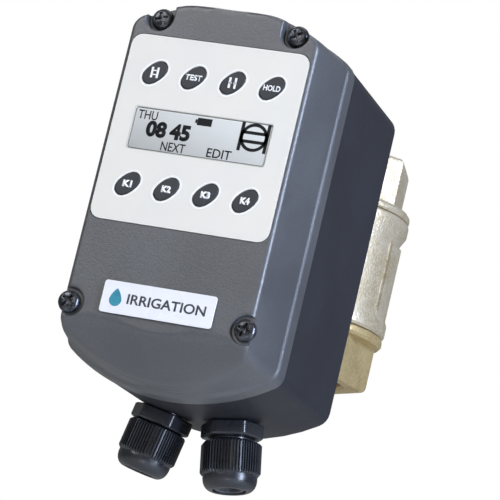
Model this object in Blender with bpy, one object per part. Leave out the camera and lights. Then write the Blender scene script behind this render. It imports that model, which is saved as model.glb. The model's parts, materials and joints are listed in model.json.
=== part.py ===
"""Motorised ball valve with a timer head: the irrigation controller, as separate pieces.

The frame's origin is the centre of the valve ball, where the pipe axis (Z) crosses the
stem axis (Y). X points right, Y points away from the control panel, Z points up. The head
is modelled in its own frame: x right, d depth behind the panel, z up from the keypad's
middle. Every length below is in millimetres, and MM turns it into metres.
"""

from math import acos, atan2, cos, degrees, pi, radians, sin, sqrt, tan

import bmesh
import bpy
from mathutils import Matrix, Vector

MM = 0.001
GAP = 0.3  # room that touching pieces keep between them

# The head's place: the panel stands in front of the ball, its middle just above it.
PANEL_Y = -162.0
PANEL_Z = 1.5

# Housing outline: straight sides, arched top and bottom, rounded corners.
ARCH_RADIUS = 70.0
CORNER_RADIUS = 6.0
WALL = 3.4
PANEL_THICKNESS = 2.5
PANEL_HALF_WIDTH = 35.1
BAND_HALF_WIDTH = 40.15
COVER_TAPER_END = 20.5
BAND_START = 21.3
COVER_DEPTH = 29.5
BASE_START = COVER_DEPTH + GAP
HEAD_DEPTH = 89.0
BACK_INNER = HEAD_DEPTH - 3.0
CHIN_Z = -70.0  # where the panel starts to slope back towards its lower edge
FOREHEAD_Z = 46.8

# Keypad, display and name plate.
FASCIA_SIZE = (66.5, 67.9)
FASCIA_RADIUS = 4.0
FASCIA_THICKNESS = 1.0
FASCIA_PROUD = 0.2
WINDOW_SIZE = (50.6, 14.6)
PLATE_SIZE = (41.6, 11.4)
PLATE_Z = -60.7
KEY_PITCH = 14.6
KEY_ROW_Z = 20.4
KEY_LONG = 4.9
KEY_SHORT = 3.1
KEY_TILT = 45.0
KEY_PROUD = 0.35
KEY_REAR = 3.9
KEY_TRAVEL = 0.5
BOARD_D = 9.0
BOARD_THICKNESS = 1.6

# Supply board and the gear plate's posts, in the rear shell: x and z of each post.
POWER_D = 60.0
POWER_POSTS = ((-25.0, -67.0), (25.0, -67.0), (-25.0, -36.5), (25.0, -36.5))
GEAR_POSTS = ((-30.5, -25.0), (30.5, -25.0), (-31.4, 32.5), (31.4, 32.5))
ADAPTER_SCREWS = ((-19.0, 0.0), (19.0, 0.0))
ADAPTER_SCREW_RADIUS = 2.0

# Seal cord in the rear shell's rim.
GASKET_INSET = 1.1
GASKET_WIDTH = 1.0
GASKET_DEPTH = 2.0

# Cover screws: x, z and depth of the pocket floor under the head.
TOP_SCREW = (25.4, 41.0, 4.7)
LOW_SCREW = (32.7, -64.6, 1.5)
POCKET_RADIUS = 5.1
POCKET_STEPS = 10
SCREW_RADIUS = 1.9

# Drive train, all axes along Y. The output axis is the stem axis.
MODULE_OUT = 1.0
MODULE_IN = 0.75
TEETH_OUT = 48
TEETH_IN = 36
TEETH_PINION = 12
OUT_DISTANCE = MODULE_OUT * (TEETH_OUT + TEETH_PINION) / 2
IN_DISTANCE = MODULE_IN * (TEETH_IN + TEETH_PINION) / 2
COMPOUND_AT = (0.0, OUT_DISTANCE)
MOTOR_AT = (-0.8 * IN_DISTANCE, OUT_DISTANCE - 0.6 * IN_DISTANCE)
PRESSURE_ANGLE = radians(20)
AXLE_RADIUS = 2.0
BACKLASH = 0.22
SHAFT_RADIUS = 6.0
SQUARE = 9.0
CAM_STEPS = 28
PLATE_D = 67.0

# Cable glands, square to the arched bottom.
GLAND_X = 13.1
GLAND_D = 62.5
GLAND_TILT = degrees(atan2(GLAND_X, sqrt(ARCH_RADIUS**2 - GLAND_X**2)))
GLAND_THREAD = 7.9
CABLE_RADIUS = 3.9
MOUTH_RADIUS = 5.9
GLAND_WIDTH = 20.0
GLAND_TURN = -110.0
CAP_WIDTH = 20.6
CAP_TURN = -62.0
CAP_LENGTH = 17.2
CAP_START = {"left": 6.0, "right": 7.2}

# Ball valve: pipe axis along Z.
VALVE_LENGTH = 91.0
HEX_WIDTH = 43.0
BORE_RADIUS = 12.3
PORT_RADIUS = 15.2
PORT_DEPTH = 18.0
BALL_RADIUS = 19.0
BODY_RADIUS = 25.3
COLLAR_RADIUS = 27.3
CAVITY_RADIUS = 19.8
BOSS_RADIUS = 13.0
BOSS_END = -46.0
PAD_SIZE = (7.0, 11.0, 29.0)
PAD_Z = -2.0
# Each end's joint with the body, where its hexagon starts, and a corner's angle.
VALVE_ENDS = {1: (22.8, 26.4, 40.4), -1: (23.8, 27.8, 20.0)}
VALVE_STEPS = 36

COLOURS = {
    "cover_grey": ((0.105, 0.112, 0.135), 0.55, 0.0),
    "housing_grey": ((0.036, 0.040, 0.053), 0.6, 0.0),
    "fascia_white": ((0.76, 0.76, 0.75), 0.45, 0.0),
    "plate_white": ((0.85, 0.85, 0.86), 0.4, 0.0),
    "window_clear": ((0.45, 0.47, 0.46), 0.12, 0.0),
    "key_charcoal": ((0.030, 0.032, 0.040), 0.5, 0.0),
    "black_nylon": ((0.012, 0.012, 0.014), 0.3, 0.0),
    "seal_rubber": ((0.05, 0.05, 0.055), 0.8, 0.0),
    "black_steel": ((0.02, 0.02, 0.02), 0.35, 0.8),
    "bright_steel": ((0.55, 0.55, 0.56), 0.3, 1.0),
    "nickel_brass": ((0.62, 0.58, 0.50), 0.25, 1.0),
    "chrome_ball": ((0.75, 0.75, 0.76), 0.08, 1.0),
    "brass": ((0.65, 0.45, 0.18), 0.3, 1.0),
    "ptfe_white": ((0.85, 0.85, 0.83), 0.5, 0.0),
    "gear_cream": ((0.70, 0.66, 0.55), 0.5, 0.0),
    "board_green": ((0.02, 0.13, 0.05), 0.5, 0.0),
    "part_black": ((0.02, 0.02, 0.02), 0.5, 0.0),
    "terminal_green": ((0.03, 0.30, 0.10), 0.5, 0.0),
    "core_steel": ((0.20, 0.20, 0.21), 0.5, 0.6),
    "ribbon_grey": ((0.35, 0.35, 0.36), 0.6, 0.0),
}


# ---------------------------------------------------------------- shared tools


def material(name):
    """Return the named Principled BSDF material, made once."""
    found = bpy.data.materials.get(name)
    if found:
        return found
    colour, roughness, metallic = COLOURS[name]
    made = bpy.data.materials.new(name)
    made.use_nodes = True
    shader = made.node_tree.nodes["Principled BSDF"]
    shader.inputs["Base Color"].default_value = (*colour, 1.0)
    shader.inputs["Roughness"].default_value = roughness
    shader.inputs["Metallic"].default_value = metallic
    made.diffuse_color = (*colour, 1.0)
    return made


def solid(name, bm, surface):
    """Turn a bmesh in millimetres into a named object in metres."""
    bmesh.ops.recalc_face_normals(bm, faces=bm.faces)
    bmesh.ops.scale(bm, vec=(MM, MM, MM), verts=bm.verts)
    mesh = bpy.data.meshes.new(name)
    bm.to_mesh(mesh)
    bm.free()
    mesh.materials.append(material(surface))
    made = bpy.data.objects.new(name, mesh)
    bpy.context.collection.objects.link(made)
    return made


def loft(name, rings, surface="part_black", closed=False):
    """Bridge a run of rings with equal point counts; closed joins the last to the first."""
    bm = bmesh.new()
    loops = []
    for ring in rings:
        points = [bm.verts.new(point) for point in ring]
        loops.append([bm.edges.new(pair) for pair in zip(points, points[1:] + points[:1])])
    pairs = list(zip(loops, loops[1:]))
    if closed:
        pairs.append((loops[-1], loops[0]))
    for low, high in pairs:
        bmesh.ops.bridge_loops(bm, edges=low + high)
    if not closed:
        bmesh.ops.holes_fill(bm, edges=loops[0] + loops[-1])
    return solid(name, bm, surface)


def prism(name, outline, start, end, surface="part_black"):
    """Extrude an outline of (x, z) points along d, from start to end."""
    bm = bmesh.new()
    face = bm.faces.new([bm.verts.new((x, start, z)) for x, z in outline])
    grown = bmesh.ops.extrude_face_region(bm, geom=[face])["geom"]
    moved = [item for item in grown if isinstance(item, bmesh.types.BMVert)]
    bmesh.ops.translate(bm, vec=(0, end - start, 0), verts=moved)
    return solid(name, bm, surface)


def turned(name, profile, segments, surface="part_black", closed=False):
    """Spin a profile of (radius, s) about Z; a closed profile makes a tube."""
    bm = bmesh.new()
    points = [bm.verts.new((radius, 0.0, s)) for radius, s in profile]
    pairs = list(zip(points, points[1:]))
    if closed:
        pairs.append((points[-1], points[0]))
    edges = [bm.edges.new(pair) for pair in pairs]
    bmesh.ops.spin(bm, geom=points + edges, cent=(0, 0, 0), axis=(0, 0, 1),
                   angle=2 * pi, steps=segments, use_merge=True)
    if not closed:
        bmesh.ops.holes_fill(bm, edges=[edge for edge in bm.edges if edge.is_boundary])
    return solid(name, bm, surface)


def face_along_y(target):
    """Turn a solid's own Z axis onto +Y, in its mesh."""
    target.data.transform(Matrix.Rotation(-pi / 2, 4, "X"))
    return target


def shaft_y(name, profile, segments, surface="part_black", closed=False, x=0.0, z=0.0):
    """A turned solid whose axis runs along +Y through (x, z)."""
    made = face_along_y(turned(name, profile, segments, surface, closed))
    made.data.transform(Matrix.Translation((x * MM, 0, z * MM)))
    return made


def rod(x, z, radius, start, end, segments=16):
    """A plain round rod along d, used to cut or to add."""
    return shaft_y("rod", [(radius, start), (radius, end)], segments, x=x, z=z)


def box(name, centre, size, surface="part_black"):
    """A box with its middle at centre."""
    bm = bmesh.new()
    bmesh.ops.create_cube(bm, size=1.0)
    bmesh.ops.scale(bm, vec=size, verts=bm.verts)
    bmesh.ops.translate(bm, vec=centre, verts=bm.verts)
    return solid(name, bm, surface)


def combine(target, others, operation):
    """Apply one exact Boolean for each other solid, and remove that solid."""
    for other in others:
        step = target.modifiers.new("step", "BOOLEAN")
        step.operation = operation
        step.solver = "EXACT"
        step.object = other
        bpy.context.view_layer.objects.active = target
        bpy.ops.object.modifier_apply(modifier=step.name)
        bpy.data.objects.remove(other)
    return target


def cut(target, *others):
    return combine(target, others, "DIFFERENCE")


def fuse(target, *others):
    return combine(target, others, "UNION")


def finish(target, parent=None, sharp=35.0):
    """Shade a finished piece and hang it on its parent."""
    target.data.shade_smooth()
    target.data.set_sharp_from_angle(angle=radians(sharp))
    target.parent = parent
    return target


def rounded(width, height, radius, steps=4, x=0.0, z=0.0):
    """Outline of a rounded rectangle about (x, z)."""
    points = []
    corners = ((1, 1, 0), (-1, 1, 90), (-1, -1, 180), (1, -1, 270))
    for side_x, side_z, start in corners:
        for i in range(steps + 1):
            angle = radians(start + 90 * i / steps)
            across = side_x * (width / 2 - radius) + radius * cos(angle)
            up = side_z * (height / 2 - radius) + radius * sin(angle)
            points.append((x + across, z + up))
    return points


def oval(long_radius, short_radius, tilt, x, z, steps=16):
    """Outline of a tilted oval, slightly fuller than an ellipse."""
    points = []
    for i in range(steps):
        angle = 2 * pi * i / steps
        fuller = (abs(cos(angle)) ** 2.3 + abs(sin(angle)) ** 2.3) ** (-1 / 2.3)
        u = long_radius * fuller * cos(angle)
        v = short_radius * fuller * sin(angle)
        c, s = cos(radians(tilt)), sin(radians(tilt))
        points.append((x + u * c - v * s, z + u * s + v * c))
    return points


def hexagon(width, turn=0.0, corner=0.0, steps=1):
    """Outline of a hexagon across its flats, with corners cut or rounded by corner."""
    reach = width / 2 / cos(pi / 6)
    points = []
    for i in range(6):
        middle = pi / 3 * i + radians(turn)
        if corner == 0.0:
            points.append((reach * cos(middle), reach * sin(middle)))
            continue
        centre = (reach - corner / cos(pi / 6))
        for k in range(steps + 1):
            angle = middle + pi / 3 * (k / steps - 0.5)
            across = centre * cos(middle) + corner * cos(angle)
            up = centre * sin(middle) + corner * sin(angle)
            points.append((across, up))
    return points


# ------------------------------------------------------------- housing outline


def housing_outline(half_width, low, high, inset=0.0, corner=CORNER_RADIUS):
    """Points (x, z) of the head's outline: arched top and bottom, rounded corners."""
    side = half_width - inset
    arch = ARCH_RADIUS - inset
    round_off = max(corner - inset, 1.5)
    reach = arch - round_off
    corner_x = side - round_off
    drop = sqrt(reach**2 - corner_x**2)
    points = []
    for end, centre in ((1, high - ARCH_RADIUS), (-1, low + ARCH_RADIUS)):
        lean = atan2(corner_x, drop)
        right = []
        for i in range(5):
            angle = (pi / 2 - lean) * i / 4
            across = corner_x + round_off * cos(angle)
            right.append((across, centre + end * (drop + round_off * sin(angle))))
        for i in range(1, 6):
            angle = lean * (1 - i / 5.5)
            right.append((arch * sin(angle), centre + end * arch * cos(angle)))
        left = [(-x, z) for x, z in right]
        points += right + left[::-1] if end == 1 else left + right[::-1]
    return points


def head_ring(depth, half_width, low, high, inset=0.0):
    """One ring of the housing at a depth, as (x, d, z) points."""
    return [(x, depth, z) for x, z in housing_outline(half_width, low, high, inset)]


COVER_STATIONS = (
    (0.0, PANEL_HALF_WIDTH, -82.2, 48.8),
    (COVER_TAPER_END, BAND_HALF_WIDTH - 0.75, -86.5, 50.6),
    (BAND_START, BAND_HALF_WIDTH, -87.4, 51.2),
    (COVER_DEPTH, BAND_HALF_WIDTH, -88.2, 51.2),
)

BASE_STATIONS = (
    (BASE_START, BAND_HALF_WIDTH - 0.35, -87.9, 50.9),
    (HEAD_DEPTH - 1.2, BAND_HALF_WIDTH - 0.95, -87.2, 50.3),
    (HEAD_DEPTH, BAND_HALF_WIDTH - 2.1, -86.1, 49.2),
)


def wedge(edge_d, edge_z, direction):
    """A big block whose face leans back from the line (edge_d, edge_z)."""
    rise, run = direction
    far = 60.0
    front = (edge_d - far * run, edge_z - far * rise)
    back = (edge_d + far * run, edge_z + far * rise)
    profile = [front, back, (front[0], back[1])]
    return loft("wedge", [[(x, d, z) for d, z in profile] for x in (-60.0, 60.0)])


def chin_cutter(inset=0.0):
    """The block in front of the chin, which leans back at 45 degrees."""
    shift = inset * sqrt(2.0)
    return wedge(0.0, CHIN_Z + shift, (-1.0, 1.0))


def forehead_cutter(inset=0.0):
    """The block above the forehead, a shallow slope over the panel's top edge."""
    return wedge(0.0, FOREHEAD_Z - inset * 1.2, (0.5, 1.0))


def slot_along(x, z, radius, start, end, toward):
    """A round pocket at (x, z) that runs out of the housing along toward."""
    reach = 16.0
    heading = atan2(toward[1], toward[0])
    outline = []
    for i in range(POCKET_STEPS + 1):
        angle = heading + pi / 2 + pi * i / POCKET_STEPS
        outline.append((x + radius * cos(angle), z + radius * sin(angle)))
    run_x, run_z = reach * toward[0], reach * toward[1]
    first, last = outline[0], outline[-1]
    outline.append((last[0] + run_x, last[1] + run_z))
    outline.append((first[0] + run_x, first[1] + run_z))
    return prism("slot", outline, start, end)


def pocket_places():
    """Each cover screw's x, z, pocket depth and the way its pocket runs out."""
    for side in (-1, 1):
        yield side * TOP_SCREW[0], TOP_SCREW[1], TOP_SCREW[2], (0, 1)
        yield side * LOW_SCREW[0], LOW_SCREW[1], LOW_SCREW[2], (side, 0)


def key_places():
    """Each key's name, x and z: the mode keys above the display, soft keys below."""
    upper = ("key_open", "key_auto", "key_close", "key_mode")
    lower = ("key_soft_1", "key_soft_2", "key_soft_3", "key_soft_4")
    for names, z in ((upper, KEY_ROW_Z), (lower, -KEY_ROW_Z)):
        for i, name in enumerate(names):
            yield name, (i - 1.5) * KEY_PITCH, z


def front_cover(head):
    """The cover: a tapered shell with a chin, screw pockets and the keypad's recess."""
    shell = loft("front_cover", [head_ring(*s) for s in COVER_STATIONS], "cover_grey")
    cut(shell, chin_cutter(), forehead_cutter())
    stations = list(COVER_STATIONS)
    stations[0] = (PANEL_THICKNESS, PANEL_HALF_WIDTH + 0.6, -82.7, 49.0)
    stations[-1] = (COVER_DEPTH + 1, *COVER_STATIONS[-1][1:])
    cavity = loft("cavity", [head_ring(*s, inset=WALL) for s in stations])
    cut(cavity, chin_cutter(WALL), forehead_cutter(WALL))
    for x, z, floor, toward in pocket_places():
        cup_end = floor + 2.5
        cut(cavity, slot_along(x, z, POCKET_RADIUS + 1.6, 0.0, cup_end, toward))
        cut(cavity, rod(x, z, SCREW_RADIUS + 1.6, 0.0, COVER_DEPTH + 2, 12))
    for x in (-29.0, 29.0):
        for z in (-29.5, 29.5):
            cut(cavity, rod(x, z, 2.4, 0.0, BOARD_D - GAP, 8))
    cut(shell, cavity)
    for x, z, floor, toward in pocket_places():
        cut(shell, slot_along(x, z, POCKET_RADIUS, -5.0, floor, toward))
        cut(shell, rod(x, z, SCREW_RADIUS + GAP, -1.0, COVER_DEPTH + 5, 12))
    width, height = FASCIA_SIZE
    floor = FASCIA_THICKNESS - FASCIA_PROUD + GAP
    recess = rounded(width + 2 * GAP, height + 2 * GAP, FASCIA_RADIUS + GAP)
    cut(shell, prism("recess", recess, -1.0, floor))
    cut(shell, prism("view", rounded(48.0, 12.5, 1.0), -1.0, 5.0))
    for _, x, z in key_places():
        hole = oval(KEY_LONG + GAP, KEY_SHORT + GAP, KEY_TILT, x, z)
        cut(shell, prism("hole", hole, -1.0, 5.0))
    return finish(shell, head)


def drilled(x, z, radius, hole, start, bottom):
    """A post from start to the rear wall, drilled from its front end to bottom."""
    post = rod(x, z, radius, start, HEAD_DEPTH, 12)
    return cut(post, rod(x, z, hole, start - 1.0, bottom, 12))


def rear_housing(head):
    """The deep rear shell, with screw pillars and posts for everything it carries."""
    shell = loft("rear_housing", [head_ring(*s) for s in BASE_STATIONS], "housing_grey")
    stations = (
        (BASE_START - 1, *BASE_STATIONS[0][1:]),
        (BACK_INNER, *BASE_STATIONS[1][1:]),
    )
    cavity = loft("cavity", [head_ring(*s, inset=WALL) for s in stations])
    for x, z, _, _ in pocket_places():
        cut(cavity, rod(x, z, 4.2, BASE_START - 2, HEAD_DEPTH, 12))
    for x, z in POWER_POSTS:
        cut(cavity, rod(x, z, 3.0, POWER_D + BOARD_THICKNESS + GAP, HEAD_DEPTH, 8))
    for x, z in GEAR_POSTS:
        cut(cavity, drilled(x, z, 3.2, 1.6, PLATE_D + 2.0 + GAP, 80.0))
    cut(shell, cavity)
    for x, z, _, _ in pocket_places():
        cut(shell, rod(x, z, SCREW_RADIUS + GAP, BASE_START - 2, 42.0, 12))
    for side in ("left", "right"):
        hole = turned("hole", [(GLAND_THREAD + GAP, -9.0), (GLAND_THREAD + GAP, 7.0)], 20)
        hole.data.transform(gland_matrix(side))
        cut(shell, hole)
    cut(shell, seal_loop("groove", GASKET_INSET - GAP, GASKET_WIDTH + 2 * GAP,
                         BASE_START - 1.0, BASE_START + GASKET_DEPTH))
    drills = rod(0.0, -PANEL_Z, 9.7 + GAP, 82.0, 95.0, 24)
    for x, z in ADAPTER_SCREWS:
        fuse(drills, rod(x, z - PANEL_Z, ADAPTER_SCREW_RADIUS + GAP, 82.0, 95.0, 12))
    cut(shell, drills)
    return finish(shell, head)


def seal_loop(name, inset, width, start, end):
    """A square loop that follows the parting line: the seal cord or its groove."""
    station = BASE_STATIONS[0][1:]
    outer = housing_outline(*station, inset=inset)
    inner = housing_outline(*station, inset=inset + width)
    edges = ((outer, start), (outer, end), (inner, end), (inner, start))
    rings = [[(x, d, z) for x, z in edge] for edge, d in edges]
    return loft(name, rings, "seal_rubber", closed=True)


def cover_gasket(head):
    """The rubber cord in the rear shell's rim."""
    start = COVER_DEPTH + GAP
    end = BASE_START + GASKET_DEPTH - GAP
    return finish(seal_loop("cover_gasket", GASKET_INSET, GASKET_WIDTH, start, end), head)


def pan_screw(name, radius, head_radius, head_height, length, surface, cross=False):
    """A pan-head screw along +Y with its head's underside at 0."""
    rim = head_height * 0.45
    profile = [
        (head_radius * 0.75, -head_height),
        (head_radius, -rim),
        (head_radius, 0.0),
        (radius, 0.0),
        (radius, length - 1.0),
        (radius * 0.5, length),
    ]
    made = shaft_y(name, profile, 12, surface)
    if not cross:
        return made
    arm = head_radius * 0.95
    for size in ((arm, 2.4, 0.9), (0.9, 2.4, arm)):
        cut(made, box("cross", (0, -head_height, 0), size))
    return made


def cover_screws(head):
    """Four black screws that hold the cover."""
    for number, (x, z, floor, _) in enumerate(pocket_places(), start=1):
        length = 38.0 - floor
        name = "cover_screw_%d" % number
        made = pan_screw(name, SCREW_RADIUS, 4.0, 2.5, length, "black_steel", cross=True)
        finish(made, head)
        made.location = Vector((x, floor - GAP, z)) * MM


# ---------------------------------------------------------- panel and controls



def keypad(head):
    """The white fascia, its window, eight keys and the name plate."""
    width, height = FASCIA_SIZE
    outline = rounded(width, height, FASCIA_RADIUS)
    start, end = -FASCIA_PROUD, FASCIA_THICKNESS - FASCIA_PROUD
    fascia = prism("keypad_fascia", outline, start, end, "fascia_white")
    view = rounded(WINDOW_SIZE[0] + 2 * GAP, WINDOW_SIZE[1] + 2 * GAP, 0.8, 2)
    cut(fascia, prism("view", view, -2.0, 2.0))
    for _, x, z in key_places():
        hole = oval(KEY_LONG + GAP, KEY_SHORT + GAP, KEY_TILT, x, z)
        cut(fascia, prism("hole", hole, -2.0, 2.0))
    finish(fascia, head)
    pane = prism("display_window", rounded(*WINDOW_SIZE, 0.6, 2), 0.0, end, "window_clear")
    finish(pane, head)
    for name, x, z in key_places():
        cap = oval(KEY_LONG, KEY_SHORT, KEY_TILT, 0, 0)
        collar = oval(KEY_LONG + 1.0, KEY_SHORT + 1.0, KEY_TILT, 0, 0)
        rings = []
        for edge, d in ((cap, -KEY_PROUD), (cap, PANEL_THICKNESS + GAP),
                        (collar, PANEL_THICKNESS + GAP), (collar, KEY_REAR)):
            rings.append([(u, d, v) for u, v in edge])
        key = finish(loft(name, rings, "key_charcoal"), head)
        key.location = Vector((x, 0, z)) * MM
    plate = rounded(*PLATE_SIZE, 1.0, 3, z=PLATE_Z)
    finish(prism("name_plate", plate, -0.8, -GAP, "plate_white"), head)


def control_board(head):
    """The panel's board with its key switches, the display module and the clock's cell."""
    board = box("control_board", (0, BOARD_D + 0.8, 0), (65, 1.6, 66), "board_green")
    for _, x, z in key_places():
        fuse(board, box("switch", (x, BOARD_D - 1.8, z), (6, 4.0, 6)))
        fuse(board, rod(x, z, 1.6, KEY_REAR + KEY_TRAVEL + 0.1, BOARD_D - 3.0, 8))
    fuse(board, box("chip", (10, BOARD_D + 2.2, 6), (10, 2.0, 10)))
    fuse(board, box("socket", (0, BOARD_D + 3.0, -29.0), (18, 4.0, 4.5)))
    fuse(board, box("holder", (-12, BOARD_D + 2.4, 4), (25, 2.4, 6)))
    finish(board, head)
    module = box("lcd_module", (0, 5.9, 0), (56, 5.4, 19.5), "core_steel")
    finish(module, head)
    cell_start = BOARD_D + 3.9
    cell = shaft_y("coin_cell", [(10.0, cell_start), (10.0, cell_start + 3.2)], 20,
                   "bright_steel", x=-12, z=4)
    finish(cell, head)


def power_board(head):
    """The supply board: transformer, relay and the terminals for the cables."""
    middle = (0, POWER_D + BOARD_THICKNESS / 2, -51.5)
    board = box("power_board", middle, (56, BOARD_THICKNESS, 38), "board_green")
    fuse(board, box("relay", (18, POWER_D - 7.4, -43.5), (16, 15.0, 19)))
    fuse(board, box("socket", (0, POWER_D - 2.0, -36.5), (18, 4.2, 5)))
    finish(board, head)
    middle = (-14.5, POWER_D - GAP - 10.5, -54)
    core = box("transformer", middle, (22, 21, 22), "core_steel")
    fuse(core, box("coil", middle, (27, 17, 15)))
    finish(core, head)
    block = box("terminal_block", (14, POWER_D - GAP - 5.5, -62), (26, 11, 11),
                "terminal_green")
    for i in range(5):
        x = 14 + (i - 2) * 5.0
        cut(block, box("entry", (x, POWER_D - 9.0, -67), (3.6, 3.6, 8)))
        cut(block, rod(x, -60.0, 1.5, POWER_D - 12.5, POWER_D - 10.0, 8))
    finish(block, head)


def ribbon_cable(head):
    """The flat cable from the control board's socket back to the supply board."""
    half, thick = 7.0, 0.7
    start = Vector((BOARD_D + 5.3, -29.0))
    end = Vector((POWER_D - 4.4, -36.5))
    sag = 6.0
    steps = 16
    centre = []
    for i in range(steps + 1):
        t = i / steps
        along = start.lerp(end, t)
        centre.append((along.x, along.y - sag * sin(pi * t)))
    rings = []
    for i, (d, z) in enumerate(centre):
        before = Vector(centre[max(i - 1, 0)])
        after = Vector(centre[min(i + 1, steps)])
        run = (after - before).normalized()
        off = Vector((-run.y, run.x)) * thick / 2
        rings.append([
            (-half, d + off.x, z + off.y),
            (half, d + off.x, z + off.y),
            (half, d - off.x, z - off.y),
            (-half, d - off.x, z - off.y),
        ])
    return finish(loft("ribbon_cable", rings, "ribbon_grey"), head)


# ----------------------------------------------------------------- drive train



def involute(angle):
    return tan(angle) - angle


def gear_outline(module, teeth, steps, turn=0.0):
    """Outline of a spur gear with involute flanks, thinned by BACKLASH."""
    pitch = module * teeth / 2
    base = pitch * cos(PRESSURE_ANGLE)
    root = pitch - 1.25 * module
    tip = pitch + 0.9 * module
    half_pitch = pi / (2 * teeth) - BACKLASH / (2 * pitch)
    points = []
    for tooth in range(teeth):
        middle = 2 * pi * tooth / teeth + turn
        flank = []
        for k in range(steps):
            radius = root + (tip - root) * k / (steps - 1)
            pressure = acos(base / radius) if radius > base else 0.0
            half = half_pitch + involute(PRESSURE_ANGLE) - involute(pressure)
            flank.append((radius, half))
        for radius, half in flank:
            points.append((radius * cos(middle - half), radius * sin(middle - half)))
        for radius, half in reversed(flank):
            points.append((radius * cos(middle + half), radius * sin(middle + half)))
    return points


def drive_empty(name, x, z):
    """An empty on a drive axis, in the frame's own millimetres."""
    made = bpy.data.objects.new(name, None)
    bpy.context.collection.objects.link(made)
    made.location = Vector((x, PANEL_Y, z)) * MM
    return made


def gear_train(head):
    """Motor, pinion, compound gear on its axle, output gear, shaft, cam and switches."""
    out_axis = drive_empty("output_axis", 0.0, 0.0)
    mid_axis = drive_empty("compound_axis", *COMPOUND_AT)
    motor_axis = drive_empty("motor_axis", *MOTOR_AT)

    # The teeth that mesh lie on the line between two axes, tooth against gap.
    out_turn = atan2(COMPOUND_AT[1], COMPOUND_AT[0])
    out = prism("output_gear", gear_outline(MODULE_OUT, TEETH_OUT, 2, out_turn), 76.0, 81.0,
                "gear_cream")
    cut(out, rod(0, 0, SHAFT_RADIUS + GAP, 70.0, 90.0, 20))
    finish(out, out_axis)

    small_turn = out_turn + pi + pi / TEETH_PINION
    small = gear_outline(MODULE_OUT, TEETH_PINION, 3, small_turn)
    to_motor = atan2(MOTOR_AT[1] - COMPOUND_AT[1], MOTOR_AT[0] - COMPOUND_AT[0])
    large = gear_outline(MODULE_IN, TEETH_IN, 2, to_motor)
    compound = prism("compound_gear", large, 71.4, 74.4, "gear_cream")
    fuse(compound, prism("small", small, 74.3, 81.5))
    cut(compound, rod(0, 0, AXLE_RADIUS + GAP, 60.0, 90.0, 12))
    finish(compound, mid_axis)
    axle = shaft_y("gear_axle", [(AXLE_RADIUS, PLATE_D + 0.6), (AXLE_RADIUS, BACK_INNER - GAP)], 12,
                   "bright_steel")
    finish(axle, mid_axis)

    pinion_turn = to_motor + pi + pi / TEETH_PINION
    pinion = prism("motor_pinion", gear_outline(MODULE_IN, TEETH_PINION, 3, pinion_turn),
                   70.6, 75.0, "brass")
    fuse(pinion, rod(0, 0, 1.5, PLATE_D - 0.4, 75.0, 10))
    finish(pinion, motor_axis)
    motor = shaft_y("gear_motor", [(18.5, 46.0), (20.0, 47.5), (20.0, 66.7)], 32,
                    "bright_steel")
    cut(motor, rod(0, 0, 2.2, 60.0, 70.0, 16))
    finish(motor, motor_axis)

    shaft = [
        (SHAFT_RADIUS - 1, 69.6),
        (SHAFT_RADIUS, 70.6),
        (SHAFT_RADIUS, 96.5),
    ]
    shaft = shaft_y("output_shaft", shaft, 20, "bright_steel")
    half = SQUARE / 2
    square = [(half, half), (-half, half), (-half, -half), (half, -half)]
    fuse(shaft, prism("square", square, 96.0, 103.8))
    finish(shaft, out_axis)

    lobe = []
    for i in range(CAM_STEPS):
        angle = 2 * pi * i / CAM_STEPS
        lobe.append((cos(angle) * cam_radius(angle), sin(angle) * cam_radius(angle)))
    cam = prism("limit_cam", lobe, 71.0, 75.4, "part_black")
    cut(cam, rod(0, 0, SHAFT_RADIUS + GAP, 60.0, 90.0, 20))
    finish(cam, out_axis)

    for name, side in (("limit_switch_open", -1), ("limit_switch_closed", 1)):
        body = box(name, (side * 19.0, 72.4, 0), (10.0, 5.8, 20.0), "part_black")
        fuse(body, box("plunger", (side * 13.3, 72.4, 0), (2.0, 3.0, 2.0)))
        finish(body, out_axis)

    plate_low, plate_high = -30.0, 36.0
    middle = (0, PLATE_D + 1.0, (plate_low + plate_high) / 2)
    plate = box("gear_plate", middle, (68, 2.0, plate_high - plate_low), "bright_steel")
    cut(plate, rod(0, -PANEL_Z, SHAFT_RADIUS + GAP + 1, 60, 75, 16))
    cut(plate, rod(COMPOUND_AT[0], COMPOUND_AT[1] - PANEL_Z, AXLE_RADIUS + GAP, 60, 75, 16))
    cut(plate, rod(MOTOR_AT[0], MOTOR_AT[1] - PANEL_Z, 2.6, 60, 75, 16))
    for x, z in GEAR_POSTS:
        cut(plate, rod(x, z, 1.3 + GAP, 60, 75, 12))
    finish(plate, head)
    for number, (x, z) in enumerate((GEAR_POSTS[0], GEAR_POSTS[3]), start=1):
        name = "plate_screw_%d" % number
        made = pan_screw(name, 1.2, 2.6, 1.8, 9.0, "bright_steel")
        finish(made, head)
        made.location = Vector((x, PLATE_D - GAP, z)) * MM


def cam_radius(angle):
    """The cam's radius: low over the half that faces a released switch."""
    rise = 0.5 + 0.5 * cos(2 * (angle - pi / 4))
    return 9.0 + 1.9 * rise**2


def output_bearing(out_axis):
    """The flanged bush in the rear wall and the lip seal behind it."""
    flange, barrel, bore = 12.5, 9.7, SHAFT_RADIUS + GAP
    profile = [
        (bore, 83.2), (flange, 83.2), (flange, BACK_INNER - GAP),
        (barrel, BACK_INNER - GAP), (barrel, 91.5), (bore, 91.5),
    ]
    finish(shaft_y("output_bush", profile, 24, "brass", closed=True), out_axis)
    profile = [(bore, 91.8), (barrel, 91.8), (barrel, 94.5), (bore, 94.5)]
    finish(shaft_y("shaft_seal", profile, 24, "seal_rubber", closed=True), out_axis)


# -------------------------------------------------------------- valve adapter


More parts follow.
